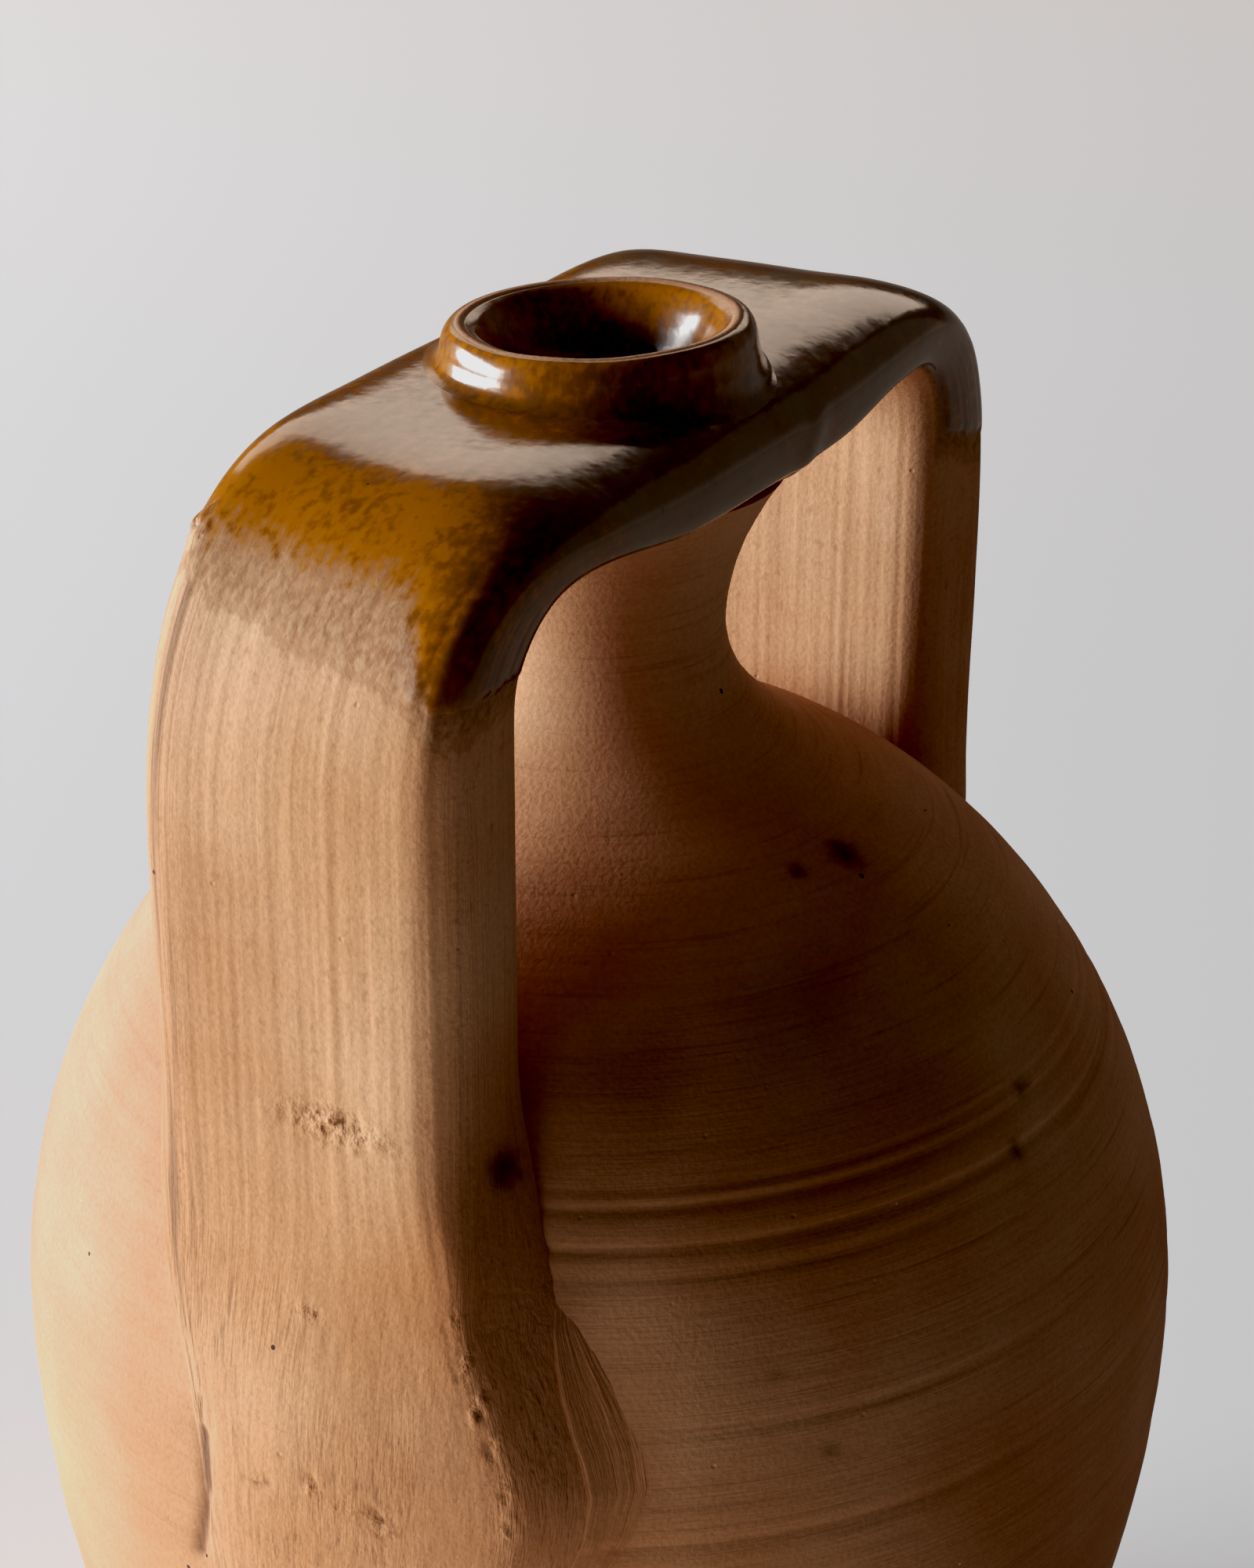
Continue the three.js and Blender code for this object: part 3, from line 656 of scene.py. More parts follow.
def strapLevels(side, share, across):
    # how far a point at this share of the strap's length has gone along each stretch, and its outer height
    form, end = strapForm, strapEnds[side]
    straight, bend, leg = form["straightShare"], form["bendShare"], form["legShare"]
    inStraight = np.clip(share / straight, 0, 1)
    inBend = np.clip((share - straight) / (bend - straight), 0, 1) * math.pi / 2
    inLeg = np.clip((share - bend) / (leg - bend), 0, 1)
    inFoot = np.clip((share - leg) / (1 - leg), 0, 1)
    radius = mixOf(end["bendFar"], end["bendNear"], (across + 1) / 2)
    top = bridgeTop + end["lift"] * smooth(0, 1, inStraight)
    top = top - topRoll(across) * smooth(1.2, 0, inBend)
    height = top - radius * (1 - np.cos(inBend)) - inLeg * (top - radius - form["legEnd"])
    height = height - inFoot * (form["legEnd"] - form["footEnd"])
    return inStraight, inBend, inLeg, inFoot, radius, height


def strapWidth(side, share, across, height):
    # signed distance from the middle plane, wider where the strap wraps the neck and where the foot leans
    end, form = strapEnds[side], strapForm
    toLeg = smooth(0.02, form["bendShare"], share)
    far = mixOf(end["farBridge"], end["farLeg"], toLeg)
    near = mixOf(end["nearBridge"], end["nearLeg"], toLeg)
    inFoot = share > form["legShare"]
    lean = np.interp(height, form["footHeights"], form["leanWidths"])
    plain = np.interp(height, form["footHeights"], form["plainWidths"])
    toFoot = smooth(form["legEnd"], form["legEnd"] - 14, height)
    near = np.where(inFoot, mixOf(near, lean if end["lean"] > 0 else plain, toFoot), near)
    far = np.where(inFoot, mixOf(far, plain if end["lean"] > 0 else lean, toFoot), far)
    return np.where(across < 0, across * far, across * near)


def strapSurface(side, share, across):
    # points of the outer and the inner face at a share of the strap's length; the near edge is at across 1
    form, end = strapForm, strapEnds[side]
    inStraight, inBend, inLeg, inFoot, radius, outerZ = strapLevels(side, share, across)
    width = strapWidth(side, share, across, outerZ)
    outerU = inStraight * (end["reach"] - radius) + radius * np.sin(inBend)
    bowed = form["bow"] * (end["reach"] - np.sqrt(end["reach"] ** 2 - width ** 2))
    outerU = outerU - bowed * smooth(0.7, 1.5, inBend)
    rise = footRise(across * end["lean"], outerZ)
    onBody = np.sqrt(np.clip((bodyRadius(outerZ) + rise) ** 2 - width ** 2, 1, None))
    outerU = np.where(inLeg > 0, smoothMax(outerU, onBody, form["blend"]), outerU)
    innerReach, bend = end["reach"] - form["legThick"], form["innerBend"]
    innerU = inStraight * (innerReach - bend) + bend * np.sin(inBend)
    innerZ = bridgeUnder + form["arch"] * smooth(22, 50, innerU) - bend * (1 - np.cos(inBend))
    legTop = bridgeUnder + form["arch"] - bend
    innerZ = innerZ - inLeg * (legTop - form["legEnd"]) - inFoot * (form["legEnd"] - form["footEnd"])
    # the inner edge runs out under the flank
    leaning = across * end["lean"]
    reachOut = np.interp(innerZ, form["flankHeights"], form["flankEdge"]) + form["toeBeyond"]
    spread = np.where(leaning > 0, np.maximum(reachOut - np.abs(width) / np.maximum(leaning, 0.1), 0), 0)
    onToe = smooth(0.6, 1, leaning)
    spread = width + end["lean"] * spread * onToe * smooth(form["legEnd"] + 12, form["legEnd"] - 6, innerZ)
    bury = mixOf(form["bury"], form["toeBury"], onToe)
    buried = np.sqrt(np.clip((bodyRadius(innerZ) - bury) ** 2 - spread ** 2, 1, None))
    hugging = smooth(form["legEnd"] + 10, form["legEnd"] - 10, innerZ) * onToe
    innerU = np.where(inLeg > 0, mixOf(smoothMax(innerReach, buried, 3.0), buried, hugging), innerU)
    return width, outerU, outerZ, innerU, innerZ, spread


def placeStrap(around, length):
    # length runs from the front foot, 0, over the neck to the rear foot, 1
    across, outward = sectionLoop(around)
    signed = 2 * length - 1
    spots = np.zeros((len(signed), 3))
    for side, mask in (("front", signed <= 0), ("rear", signed > 0)):
        form, lean, share = strapForm, strapEnds[side]["lean"], np.abs(signed[mask])
        leaning = lean * across[mask]
        onFoot = smooth(form["legShare"] - 0.02, form["legShare"] + 0.1, share) * (leaning > 0)
        lane = mixOf(across[mask], lean * np.interp(leaning, *form["ridgePlace"]), onFoot)
        width, outerU, outerZ, innerU, innerZ, spread = strapSurface(side, share, lane)
        depth = (outward[mask] + 1) / 2
        depth = mixOf(depth, np.interp(depth, *form["ridgeTurn"]), onFoot * smooth(0.5, 0.8, leaning))
        reach = strapEnds[side]["sign"] * mixOf(innerU, outerU, depth)
        width = mixOf(spread, width, 1 - (1 - depth) ** flankPower(outerZ))
        spots[mask] = np.stack([reach, -width, mixOf(innerZ, outerZ, depth)], 1)
    return spots


pulling = {
    "drag": 0.11, "dragPitch": 1.5, "hair": 0.08, "hairPitch": 0.75, "run": 70, "edgeDrag": 0.4, "lump": 0.35,
    "lumpSize": 18, "glazed": 0.05, "wrinkle": 0.06, "wrinklePitch": 1.8, "wrinkleRun": 7,
    "scar": 1.1, "scarLump": 1.6, "lap": 0.45, "lapWidth": 3.5, "lapPlace": 9,
    "breakUp": 14, "chipPlace": (-70, 28.2, 283), "chipSize": 3.2, "chip": 1.4,
}
strapToast = (0.5, 240, 170)     # how brown the clay is low down, and the heights between which it turns


def strapRelief(points, across, outward, length):
    x, y, z = points.T
    form = strapForm
    share = np.abs(length)
    wide, deep, run = across * form["laneWide"], outward * form["laneDeep"], share * form["laneLong"]
    seed = np.where(length < 0, 0.0, 40.0)
    relief = np.zeros(len(points))
    for name, shift in (("drag", 0.0), ("hair", 5.5)):
        pitch = pulling[name + "Pitch"]
        relief += pulling[name] * grain(wide / pitch + seed, deep / pitch, run / pulling["run"], shift)
    edge = np.exp(-((across + 0.86) / 0.08) ** 2)
    relief += edge * pulling["edgeDrag"] * grain(wide / 1.1, deep / 1.1, run / 90, 9.9)
    bare = smooth(form["straightShare"] + 0.05, form["bendShare"] - 0.07, share)
    foot = smooth(form["legShare"] - 0.03, form["legShare"] + 0.12, share)
    relief *= mixOf(pulling["glazed"], 1.0, bare) * (1 - 0.6 * foot)
    offNeck = smooth(27, 46, fromAxis(points))
    relief += offNeck * pulling["lump"] * grain(wide / pulling["lumpSize"] + seed, deep / pulling["lumpSize"],
                                                run / (1.6 * pulling["lumpSize"]), 2.2)
    # wrinkled skin where the foot was pressed on
    wrinkle = grain(wide / pulling["wrinklePitch"] + seed, deep / 4, z / pulling["wrinkleRun"], 6.6)
    relief += foot * pulling["wrinkle"] * (np.abs(wrinkle) * 2 - 0.5)
    lumps = grain(x / 2, y / (1.4 * pulling["scarLump"]), z / pulling["scarLump"], 4.4)
    relief += tornClay(points) * pulling["scar"] * (lumps - 0.05)
    # the front strap laps over the rear one at the near edge of the bridge
    lap = np.exp(-((x - pulling["lapPlace"] - 0.6 * (z - bridgeUnder)) / pulling["lapWidth"]) ** 2)
    relief += pulling["lap"] * lap * smooth(0.8, 0.95, across) * smooth(0.9, 0.2, outward)
    chip = np.linalg.norm(points - np.array(pulling["chipPlace"]), axis=1) / pulling["chipSize"]
    relief += pulling["chip"] * np.exp(-chip ** 2) * (0.5 + grain(x / 1.3, y / 1.3, z / 2.5, 8.8))
    return relief - gougeDepth(points)


def readPlace(sheet):
    # where each point lies: across the strap, outward and along it
    return [readMark(sheet, name) for name in ("across", "outward", "length")]


def makeStrapSheet():
    sheet = gridPiece("strapSheet", strapForm["columns"], strapForm["rows"], placeStrap)
    order = np.arange(len(sheet.data.vertices))
    across, outward = sectionLoop(order % (strapForm["columns"] + 1) / strapForm["columns"])
    length = 2 * (order // (strapForm["columns"] + 1) / strapForm["rows"]) - 1
    for name, values in (("across", across), ("outward", outward), ("length", length)):
        writeMark(sheet, name, values)
    editMesh(sheet, mergeStep, (bpy.ops.mesh.fill_holes, {"sides": 0}), normalStep)
    applyModifier(sheet, "SUBSURF", levels=3, render_levels=3)
    points, normals = readPoints(sheet), readNormals(sheet)
    across, outward, length = readPlace(sheet)
    points += normals * strapRelief(points, across, outward, length)[:, None]
    writePoints(sheet, points)
    past = np.clip(np.abs(length) - strapForm["legShare"], 0, None)     # the lines break up towards the foot
    wide, deep = across * strapForm["laneWide"], outward * strapForm["laneDeep"]
    along = strapForm["laneLong"] * (length + np.sign(length) * pulling["breakUp"] * past ** 2)
    upright = -points[:, 1] * np.where(length < 0, 1, -1)
    writeRun(sheet, mixOf(wide, upright, 0.7 * smooth(0, 0.1, past)), deep, along)
    markClay(sheet, strapToast)
    edge, flank = np.exp(-((across + 0.86) / 0.15) ** 2), smooth(0.9, 1.0, across)
    lines = edge * np.clip(2.2 * grain(wide / 0.9, deep / 0.9, along / pulling["run"], 3.7), 0, 1) * (length < 0)
    writeMark(sheet, "stainAndShade", np.maximum(readMark(sheet, "stainAndShade"), 0.6 * lines))
    patch = smooth(-0.1, 0.35, grain(points[:, 0] / 14, points[:, 1] / 14, points[:, 2] / 26, 2.9))
    pressed = (0.15 + 0.5 * patch) * smooth(0.0, 0.12, past)     # thumb strokes wiped the foot smooth in patches
    drag = (0.12 + 0.85 * edge + 0.4 * flank + pressed) * np.where(length < 0, 1, 0.45)
    writeMark(sheet, "drag", np.clip(drag, 0, 1))
    writeMark(sheet, "tornAndShade", tornClay(readPoints(sheet)))
    return sheet


# degrees round the bend where the full glaze, the brushed film and the run along the near edge stop
glazeEdge = {
    "front": {"face": 33, "film": 58, "side": 67, "slope": 12},
    "rear": {"face": 40, "film": 58, "side": 82, "slope": 4},
    "ragged": 2.0, "under": -0.72, "thick": 0.32, "film": 0.2, "sunk": -0.25, "hole": 24.5,
    # chips in the glaze: place and radius
    "chips": (((-39.4, 4.5, 293.2), 0.9), ((-71.5, 28, 280.5), 3.0)),
}


def glazeLeft(across, outward, length):
    # degrees left before the full glaze and the film end, and millimetres left above the lower edge
    form = strapForm
    angle = 90 * (np.abs(length) - form["straightShare"]) / (form["bendShare"] - form["straightShare"])
    turn = smooth(0.45, 0.95, across)
    ragged = glazeEdge["ragged"] * grain(across * 14, outward * 4, length * 6, 1.7)
    full, film = np.zeros(len(angle)), np.zeros(len(angle))
    for side, mask in (("front", length <= 0), ("rear", length > 0)):
        edge = glazeEdge[side]
        tilt = edge["slope"] * across
        full[mask] = (mixOf(edge["face"] + 0.3 * tilt, edge["side"], turn) + ragged - angle)[mask]
        film[mask] = (mixOf(edge["film"] + tilt, edge["side"] + 4, turn) + ragged - angle)[mask]
    return angle, full, film, (outward - glazeEdge["under"]) * form["laneDeep"]


def markCover(sheet):
    # 1.4 under full glaze, 0.45 where the brush ran dry, 0 on bare clay
    across, outward, length = readPlace(sheet)
    angle, full, film, under = glazeLeft(across, outward, length)
    cover = 0.45 * smooth(-1, 7, film) + 0.95 * smooth(-17, 10, full)
    cover = np.minimum(cover, 1.4 * smooth(-1, 1.5, under))
    points = readPoints(sheet)
    for place, size in glazeEdge["chips"]:
        cover *= smooth(0.6, 1.1, np.linalg.norm(points - np.array(place), axis=1) / size)
    writeMark(sheet, "cover", cover)
    depth = 0.42 + 0.1 * np.exp(-((fromAxis(points) - jar["ledge"]) / 3.5) ** 2)
    depth -= 0.37 * smooth(2, 20, angle) * smooth(-0.2, 0.5, outward) * (1 - 0.75 * smooth(0.4, 0.75, across))
    depth += 0.12 * smooth(0.62, 0.92, across)
    writeMark(sheet, "depth", np.clip(depth, 0, 1))
    # greyer, ashy patches over the rear of the bridge, and along its near edge a greyer colour that is painted sheen
    ashAndSheen = np.clip(0.15 + 1.1 * grain(*(points.T / glazeGrain["ashAndSheen"]), 2.7), 0, 0.55) * smooth(18, 42, points[:, 0])
    # painted sheen: a greyer colour along the near edge stands in for its dim reflection
    nearSheen = 0.35 + 0.6 * grain(*(points.T / 9), 6.2)
    writeMark(sheet, "ashAndSheen", np.maximum(ashAndSheen, nearSheen * smooth(0.75, 0.95, across) * smooth(25, 0, angle)))


def keepPoints(piece, keep):
    chooseOnly(piece, piece.data.vertices, ~keep)
    bpy.ops.mesh.select_mode(type="VERT")
    bpy.ops.mesh.delete(type="VERT")
    bpy.ops.object.mode_set(mode="OBJECT")


def copyPiece(piece, name):
    makeActive(piece)
    bpy.ops.object.duplicate()
    made = bpy.context.object
    made.name = made.data.name = name
    return made


def cutHalf(piece, sign, fill):
    cut = {"plane_co": (0, 0, 0), "plane_no": (sign, 0, 0), "use_fill": fill, "clear_inner": True}
    editMesh(piece, (bpy.ops.mesh.bisect, cut))


def drillHole(piece, radius):
    deselectAll()
    bpy.ops.mesh.primitive_cylinder_add(vertices=96, radius=radius * mm, depth=0.12, location=(0, 0, 0.29))
    tool = bpy.context.object
    bpy.ops.object.transform_apply(location=True, rotation=True, scale=True)
    applyModifier(piece, "BOOLEAN", operation="DIFFERENCE", solver="EXACT", object=tool)
    bpy.data.objects.remove(tool)


def makeGlazeSkin(sheet, side):
    skin = copyPiece(sheet, side + "Glaze")
    sign = strapEnds[side]["sign"]
    points, normals = readPoints(skin), readNormals(skin)
    _, full, film, under = glazeLeft(*readPlace(skin))
    rise = mixOf(glazeEdge["sunk"], glazeEdge["film"], smooth(0, 6, film))
    rise += (glazeEdge["thick"] - glazeEdge["film"]) * smooth(-4, 8, full)
    rise = np.minimum(rise, mixOf(glazeEdge["sunk"], glazeEdge["thick"], smooth(0, 2.5, under)))
    points += normals * rise[:, None]
    writePoints(skin, points)
    offHole = fromAxis(points) > glazeEdge["hole"]
    keepPoints(skin, (film > -1) & (under > -0.5) & (sign * points[:, 0] > -1.5) & offHole)
    cutHalf(skin, sign, False)
    applyModifier(skin, "SOLIDIFY", thickness=0.25 * mm, offset=-1)
    finishPiece(skin, brushedGlaze, "honey_glaze", side + "_glaze")


def makeStrap(sheet, side):
    piece = copyPiece(sheet, side + "Strap")
    cutHalf(piece, strapEnds[side]["sign"], True)
    drillHole(piece, jar["spigot"] + 0.3)
    finishPiece(piece, pulledClay, "terracotta", side + "_strap")


strapSheet = makeStrapSheet()
markCover(strapSheet)
for makeHalf in (makeGlazeSkin, makeStrap):
    for side in strapEnds:
        makeHalf(strapSheet, side)
bpy.data.objects.remove(strapSheet)
print("straps made")

# wads: clay pressed against each foot and drawn out to one side with the thumb
wad = {
    # by height: where the smear starts on the strap's flank, as a share of the way down, and how far it stands proud
    "heights": (104, 112, 122, 132, 141, 150, 157, 163, 168, 172, 176, 180),
    "start": (0.85, 0.84, 0.82, 0.79, 0.75, 0.7, 0.66, 0.66, 0.7, 0.76, 0.85, 0.95),
    "proud": (0.1, 0.12, 0.15, 0.15, 0.15, 0.15, 0.12, 0.08, 0.0, -0.2, -0.8, -1.8),
    "beyond": 2.5, "columns": 110, "rows": 230, "fillet": 1.2, "lip": 0.1, "tuck": 0.2,
    "wrinkle": 0.035, "fine": 0.025, "comb": 0.012, "combPitch": 1.0, "combSpan": 4, "combTop": (180, 165),
    "fullBelow": 150, "laneWide": 18, "stretch": 3, "thick": 2.5,
}


def wadSection(side, across, height):
    # distance from the middle plane and reach from the axis, from the fold on the flank out over the body
    form, end = strapForm, strapEnds[side]
    start, proud = (np.interp(height, wad["heights"], wad[name]) for name in ("start", "proud"))
    share = form["legShare"] + (1 - form["legShare"]) * (form["legEnd"] - height) / (form["legEnd"] - form["footEnd"])
    width, away, flank = (np.zeros(len(height)) for _ in range(3))
    beyond = 0.5 + wad["beyond"] * smooth(wad["heights"][-1], wad["fullBelow"], height)
    depths = np.interp(np.linspace(1, 0, 60), *form["ridgeTurn"])
    lane = np.full(len(depths), end["lean"])
    for level in np.unique(height):
        mask = height == level
        wide, outer, _, inner, _, spread = strapSurface(side, np.full(len(depths), share[mask][0]), lane)
        slope = np.abs(mixOf(spread, wide, 1 - (1 - depths) ** flankPower(np.full(len(depths), level))))
        reach = mixOf(inner, outer, depths)
        body = np.sqrt(np.clip(bodyRadius(level) ** 2 - slope ** 2, 1, None))
        toe = np.interp(0, body - reach, slope) if (body > reach).any() else slope[-1]
        first = mixOf(slope[0], toe, start[mask][0])
        width[mask] = mixOf(first, toe + beyond[mask], across[mask])
        onFlank = np.interp(width[mask], slope, reach)
        onBody = np.sqrt(np.clip(bodyRadius(level) ** 2 - width[mask] ** 2, 1, None))
        onBody += throwingRelief(np.stack([end["sign"] * onBody, end["sign"] * width[mask], height[mask]], 1))
        away[mask] = smoothMax(onFlank, onBody, wad["fillet"]) + proud[mask]
        flank[mask] = width[mask] - toe
    over = np.maximum(proud, 0)
    away -= (wad["tuck"] + over) * (1 - smooth(0, wad["lip"], across))
    away -= (over + 0.25) * smooth(0.05, 1, flank / beyond)
    return width, away, flank


def wadRelief(across, height, flank):
    # fan of fine wrinkles, and comb marks along the outer edge
    relief = wad["wrinkle"] * grain(across * 9, height / 11, 0, 6.1)
    relief += wad["fine"] * grain(across * 23, height / 7, 0, 8.3)
    comb = np.exp(-((flank - 1) / wad["combSpan"]) ** 2) * smooth(*wad["combTop"], height)
    sway = 2 * grain(height / 20, 0, 0)
    relief += comb * wad["comb"] * np.sin(2 * np.pi * flank / wad["combPitch"] + sway)
    return relief * smooth(wad["lip"], 3 * wad["lip"], across)


def makeWad(side):
    sign = strapEnds[side]["sign"]

    def place(across, up):
        height = mixOf(wad["heights"][0], wad["heights"][-1], np.round(up * wad["rows"]) / wad["rows"])
        width, away, _ = wadSection(side, across, height)
        return sign * np.stack([away, width, sign * height], 1)

    piece = gridPiece(side + "Wad", wad["columns"], wad["rows"], place)
    if np.mean(np.sum(readNormals(piece)[:, :2] * readPoints(piece)[:, :2], 1)) < 0:
        editMesh(piece, (bpy.ops.mesh.flip_normals, {}))
    order = np.arange(len(piece.data.vertices))
    across, up = order % (wad["columns"] + 1) / wad["columns"], order // (wad["columns"] + 1) / wad["rows"]
    height = mixOf(wad["heights"][0], wad["heights"][-1], up)
    _, _, flank = wadSection(side, across, height)
    writePoints(piece, readPoints(piece) + readNormals(piece) * wadRelief(across, height, flank)[:, None])
    writeRun(piece, across * wad["laneWide"], 0 * flank, wad["stretch"] * height)
    markClay(piece, strapToast, 0.8)
    applyModifier(piece, "SOLIDIFY", thickness=wad["thick"] * mm, offset=-1)
    finishPiece(piece, smearedClay, "smeared_terracotta", side + "_wad")


for side in strapEnds:
    makeWad(side)
print("wads made")

# collar: a low thrown ring on the stub, its lip wiped bare through the glaze
collar = {
    # radius and height above the bridge, from the seat round the lip to the bore
    "clay": ((26.6, -0.6), (25.2, 1.2), (24.4, 2.8), (24.1, 4.2), (24.2, 5.4), (23.9, 6.6), (23.1, 7.5), (22.0, 7.9),
             (20.9, 7.5), (19.8, 6.6), (18.8, 5.1), (17.8, 3.2), (16.8, 1.2), (15.9, -1.0), (15.1, -2.6)),
    "outside": ((29.6, -0.2), (27.9, 0.25), (26.7, 0.8), (25.9, 1.6), (25.45, 2.7), (25.15, 3.8), (24.95, 4.9),
                (24.6, 6.0), (24.05, 7.0), (23.4, 7.6), (22.7, 7.75)),
    "inside": ((21.3, 7.6), (20.6, 7.45), (19.6, 6.9), (18.4, 5.3), (17.3, 3.3), (16.3, 1.2), (15.3, -1.0),
               (14.6, -3.0), (14.5, -4.2)),
    "back": 0.9, "steps": 200, "curveSteps": 7, "wobble": 0.3, "sway": 0.35, "tilt": 0.03, "bareSpan": 1.1,
    "crest": 22, "footFrom": 21.5,
}


def drawCurve(points):
    # rounded line through the given points
    points = np.array(points)
    ends = np.concatenate([points[:1] * 2 - points[1:2], points, points[-1:] * 2 - points[-2:-1]])
    line = []
    for before, first, last, after in zip(ends, ends[1:], ends[2:], ends[3:]):
        for s in np.arange(collar["curveSteps"]) / collar["curveSteps"]:
            line.append(0.5 * (2 * first + (last - before) * s + (2 * before - 5 * first + 4 * last - after) * s ** 2
                               + (3 * first - before - 3 * last + after) * s ** 3))
    return np.array(line + [points[-1]])


def wobbleCollar(piece):
    # uneven by hand, and leaning a little to the rear
    points = readPoints(piece)
    bearing = np.arctan2(points[:, 1], points[:, 0])
    east, north = np.cos(bearing), np.sin(bearing)
    above = smooth(bridgeTop + 0.5, bridgeTop + 5, points[:, 2])
    swing = collar["wobble"] * grain(1.6 * east, 1.6 * north, points[:, 2] / 9) * above
    points[:, :2] *= (1 + swing / fromAxis(points))[:, None]
    points[:, 2] += above * (collar["sway"] * grain(1.4 * east, 1.4 * north, 0 * north, 3.3)
                             + collar["tilt"] * (0.5 * points[:, 0] - 0.866 * points[:, 1]))
    writePoints(piece, points)


def makeCollar():
    line = drawCurve(collar["clay"]) + (0, bridgeTop)
    seat = bridgeTop - jar["seat"] + 0.3
    foot = [(jar["bore"], seat), (jar["spigot"], seat), (jar["spigot"], bridgeTop - 0.6)]
    ring = spinPiece("collarRing", [tuple(point) for point in line] + foot, collar["steps"])
    markClay(ring)
    writeMark(ring, "paleLitSide", np.full(len(ring.data.vertices), 0.3))
    settleRing(ring)
    wobbleCollar(ring)
    finishPiece(ring, thrownClay, "terracotta", "collar")


def bridgeDrop(points):
    # how far the bridge's rounded edges lie below its flat top, beside the collar
    form, end = strapForm, strapEnds["front"]
    across = np.where(points[:, 1] < 0, -points[:, 1] / end["nearBridge"], points[:, 1] / end["farBridge"])
    turn = np.clip((across - 1 + form["cornerWide"]) / form["cornerWide"], 0, 0.98)
    corner = form["cornerDeep"] * (1 - np.sqrt(1 - turn ** 2)) * jar["bridge"] / 2
    return corner + np.where(points[:, 1] < 0, topRoll(across), 0)


def settleRing(piece):
    # the ring's foot follows the bridge
    points = readPoints(piece)
    low = smooth(bridgeTop + 2.2, bridgeTop + 0.4, points[:, 2]) * (fromAxis(points) > collar["footFrom"])
    points[:, 2] -= bridgeDrop(points) * low
    writePoints(piece, points)


def makeRingGlaze(name, outline, node, pooling):
    # a skin over the clay ring; it thins out to bare clay towards the lip
    # pooling is the heights between which it thins, and its depth at each
    line = drawCurve(collar[outline])
    away = np.gradient(line, axis=0)
    away = np.stack([away[:, 1], -away[:, 0]], 1) / np.hypot(away[:, 0], away[:, 1])[:, None]
    inward = line - away * collar["back"]
    profile = np.concatenate([line, inward[::-1]]) + (0, bridgeTop)
    skin = spinPiece(name, [tuple(point) for point in profile], collar["steps"])
    points = readPoints(skin)
    rise = points[:, 2] - bridgeTop
    toLip = np.abs(fromAxis(points) - collar["crest"]) - 0.3
    writeMark(skin, "cover", np.where(rise > 6.2, mixOf(0.6, 1.4, smooth(0, collar["bareSpan"], toLip)), 1.4))
    low, high, deepest, least = pooling
    depth = mixOf(deepest, least, smooth(low, high, rise))
    writeMark(skin, "depth", np.clip(depth - 0.15 * smooth(6, 7.5, rise), 0, 1))
    settleRing(skin)
    wobbleCollar(skin)
    finishPiece(skin, ringGlaze, "honey_glaze", node)


makeCollar()
makeRingGlaze("collarGlaze", "outside", "collar_glaze", (0.4, 3.2, 0.6, 0.3))
makeRingGlaze("mouthGlaze", "inside", "mouth_glaze", (-3, 4, 0.75, 0.2))
print("collar made")

# stage: a pale floor, a wide low window at the left, a weak wall behind, a lit table in front and a dim room
stageSet = {
    "floor": "#f1f5fb", "floorGlow": 0.17, "floorSize": 14, "world": "#c8b8aa", "worldAbove": 0.042,
    "worldBelow": 0.3, "aimHeight": 0.22,
    # the print's tone: how far the shadows are pulled down, and how the bright end rolls off
    "blackLevel": 0.006, "shoulder": ((0.35, 0.365), (0.7, 0.605), (1.0, 0.79)),
    "window": {"bearing": 98, "distance": 3.2, "height": 0.62, "size": (2.8, 1.2), "power": 302, "tone": "#ffffff"},
    "wall": {"bearing": 180, "distance": 2.6, "height": 1.46, "size": (3.2, 0.8), "power": 18, "tone": "#ffdfc6"},
    "table": {"bearing": 68, "distance": 0.52, "height": 0.012, "size": (0.8, 0.8), "power": 4.6, "tone": "#fff0e2"},
    "room": {"bearing": -112, "distance": 3.0, "height": 1.0, "size": (3.0, 2.2), "power": 2.0, "tone": "#ffe2c8"},
}
shot = {"focal": 4400, "frameHeight": 2000, "sensor": 36, "pitch": 24.48, "distance": 522.6, "height": 457.6,
        "bearing": 30, "axisShift": 36}
ahead = Vector((math.cos(math.radians(shot["bearing"])), math.sin(math.radians(shot["bearing"])), 0))
right = Vector((ahead.y, -ahead.x, 0))


def makeFloor():
    deselectAll()
    bpy.ops.mesh.primitive_plane_add(size=stageSet["floorSize"])
    floor = bpy.context.object
    floor.name = "floor"
    floor.visible_diffuse = floor.visible_glossy = False       # keeps the shaded side of the jar dark
    material, tree = newMaterial("matt_pale_paper")
    tone = linear(stageSet["floor"])
    shader = addNode(tree, "BsdfPrincipled", {"Base Color": tone, "Roughness": 0.95, "Specular IOR Level": 0.1,
                                              "Emission Color": tone, "Emission Strength": stageSet["floorGlow"]})
    addNode(tree, "OutputMaterial", {"Surface": shader.outputs["BSDF"]})
    floor.data.materials.append(material)


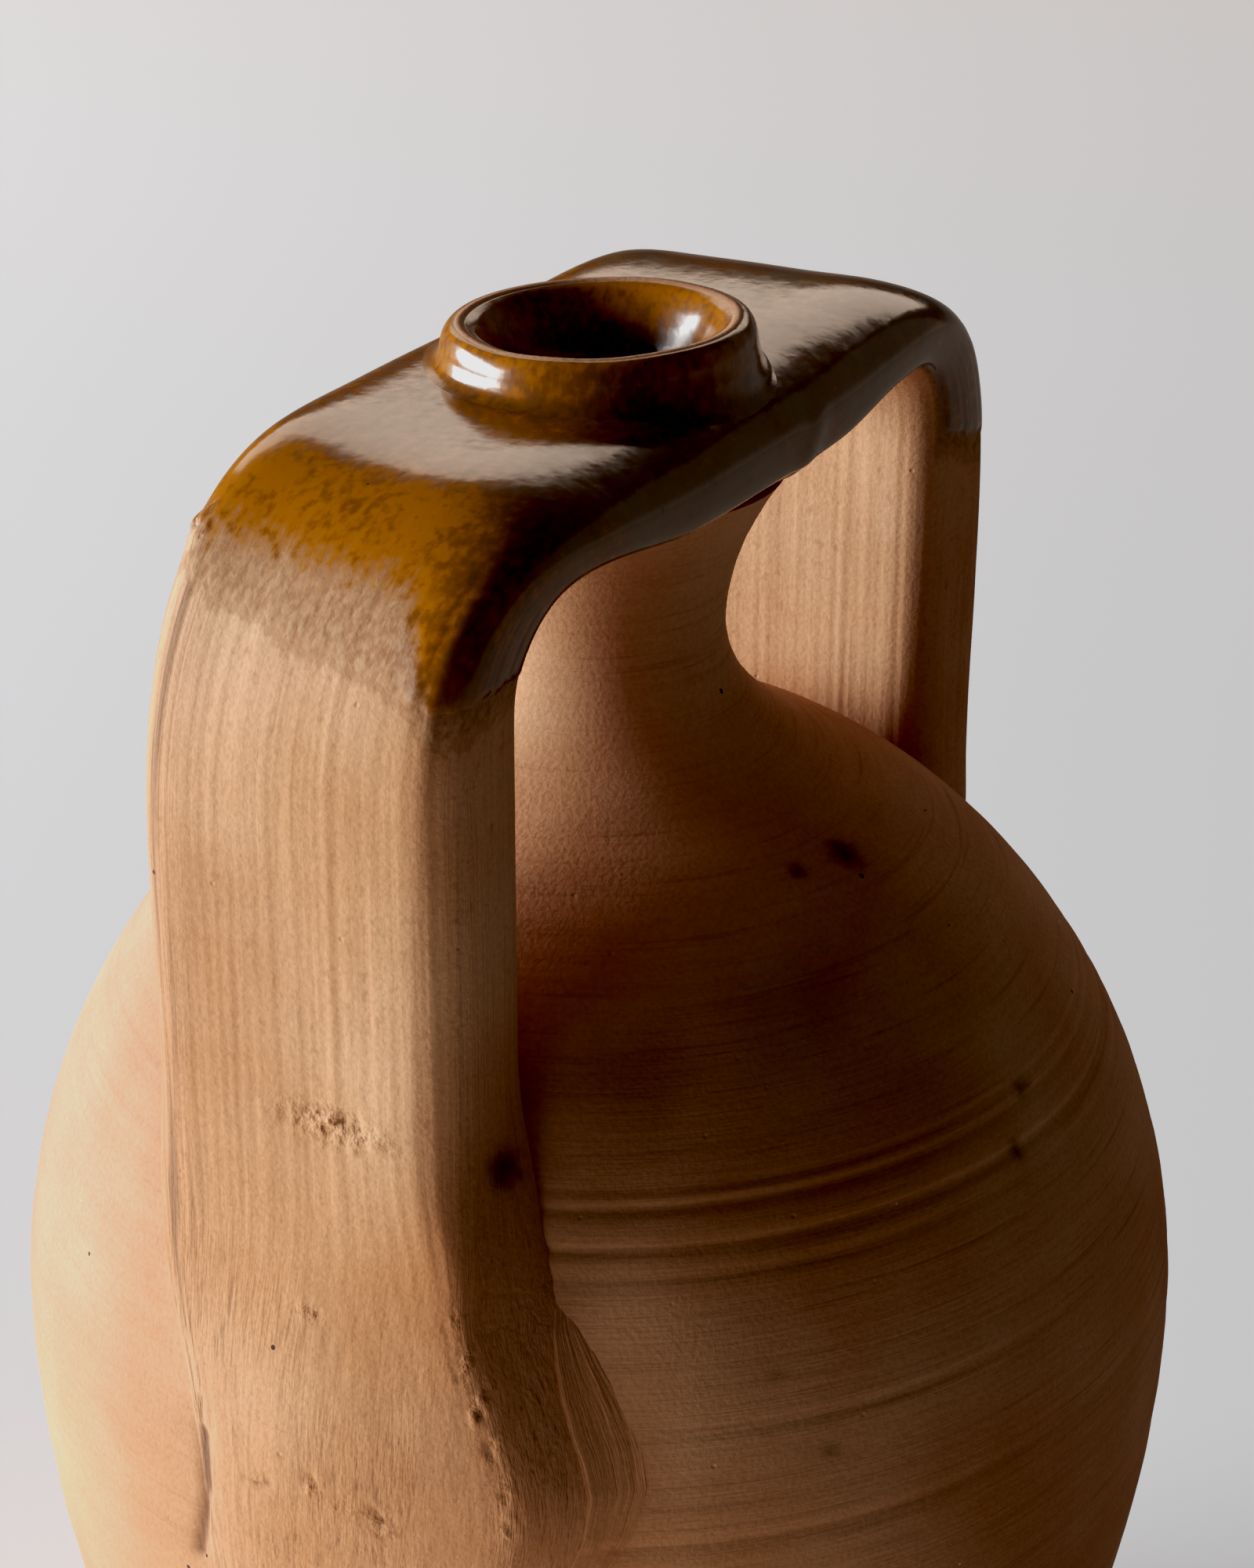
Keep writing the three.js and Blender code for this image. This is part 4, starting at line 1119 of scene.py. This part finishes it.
def makeLight(name):
    # bearing in degrees from the camera round to its left
    setting = stageSet[name]
    turn = math.radians(setting["bearing"])
    toward = -right * math.sin(turn) - ahead * math.cos(turn)
    bpy.ops.object.light_add(type="AREA")
    lamp = bpy.context.object
    lamp.name = name
    lamp.visible_camera = False
    lamp.data.shape = "RECTANGLE"
    lamp.data.size, lamp.data.size_y = setting["size"]
    lamp.data.energy = setting["power"]
    lamp.data.color = linear(setting["tone"])[:3]
    lamp.location = toward * setting["distance"] + Vector((0, 0, setting["height"]))
    aim = Vector((0, 0, 1)) if name == "table" else Vector((0, 0, stageSet["aimHeight"])) - lamp.location
    lamp.rotation_euler = aim.to_track_quat("-Z", "Y").to_euler()


def makeWorld():
    world = bpy.data.worlds.new("dimRoom")
    bpy.context.scene.world = world
    world.use_nodes = True
    tree = world.node_tree
    way = addNode(tree, "TexCoord").outputs["Generated"]
    up = addNode(tree, "SeparateXYZ", {"Vector": way}).outputs["Z"]
    strength = addNode(tree, "MapRange", {0: up, 1: -0.15, 2: 0.1, 3: stageSet["worldBelow"],
                                          4: stageSet["worldAbove"]}).outputs[0]
    back = tree.nodes["Background"]
    back.inputs["Color"].default_value = linear(stageSet["world"])
    tree.links.new(strength, back.inputs["Strength"])


def makeCamera():
    bpy.ops.object.camera_add()
    camera = bpy.context.object
    camera.name = "camera"
    camera.data.sensor_width = shot["sensor"]
    camera.data.lens = shot["focal"] / shot["frameHeight"] * shot["sensor"]
    camera.data.shift_x = shot["axisShift"] / shot["frameHeight"]
    camera.location = -ahead * shot["distance"] * mm + Vector((0, 0, shot["height"] * mm))
    pitch = math.radians(shot["pitch"])
    looking = ahead * math.cos(pitch) - Vector((0, 0, math.sin(pitch)))
    camera.rotation_euler = looking.to_track_quat("-Z", "Y").to_euler()
    camera.data.clip_start, camera.data.clip_end = 0.01, 50
    bpy.context.scene.camera = camera


makeFloor()
for lamp in ("window", "wall", "room", "table"):
    makeLight(lamp)
makeWorld()
makeCamera()
display = bpy.context.scene.view_settings
display.view_transform = "Standard"
display.use_curve_mapping = True        # deep shadows, as on the print
display.curve_mapping.extend = "HORIZONTAL"
display.curve_mapping.black_level = (stageSet["blackLevel"],) * 3
toneCurve = display.curve_mapping.curves[3]
toneCurve.points[1].location = stageSet["shoulder"][-1]
for spot in stageSet["shoulder"][:-1]:
    toneCurve.points.new(*spot)
display.curve_mapping.update()
print("stage, light and camera set")
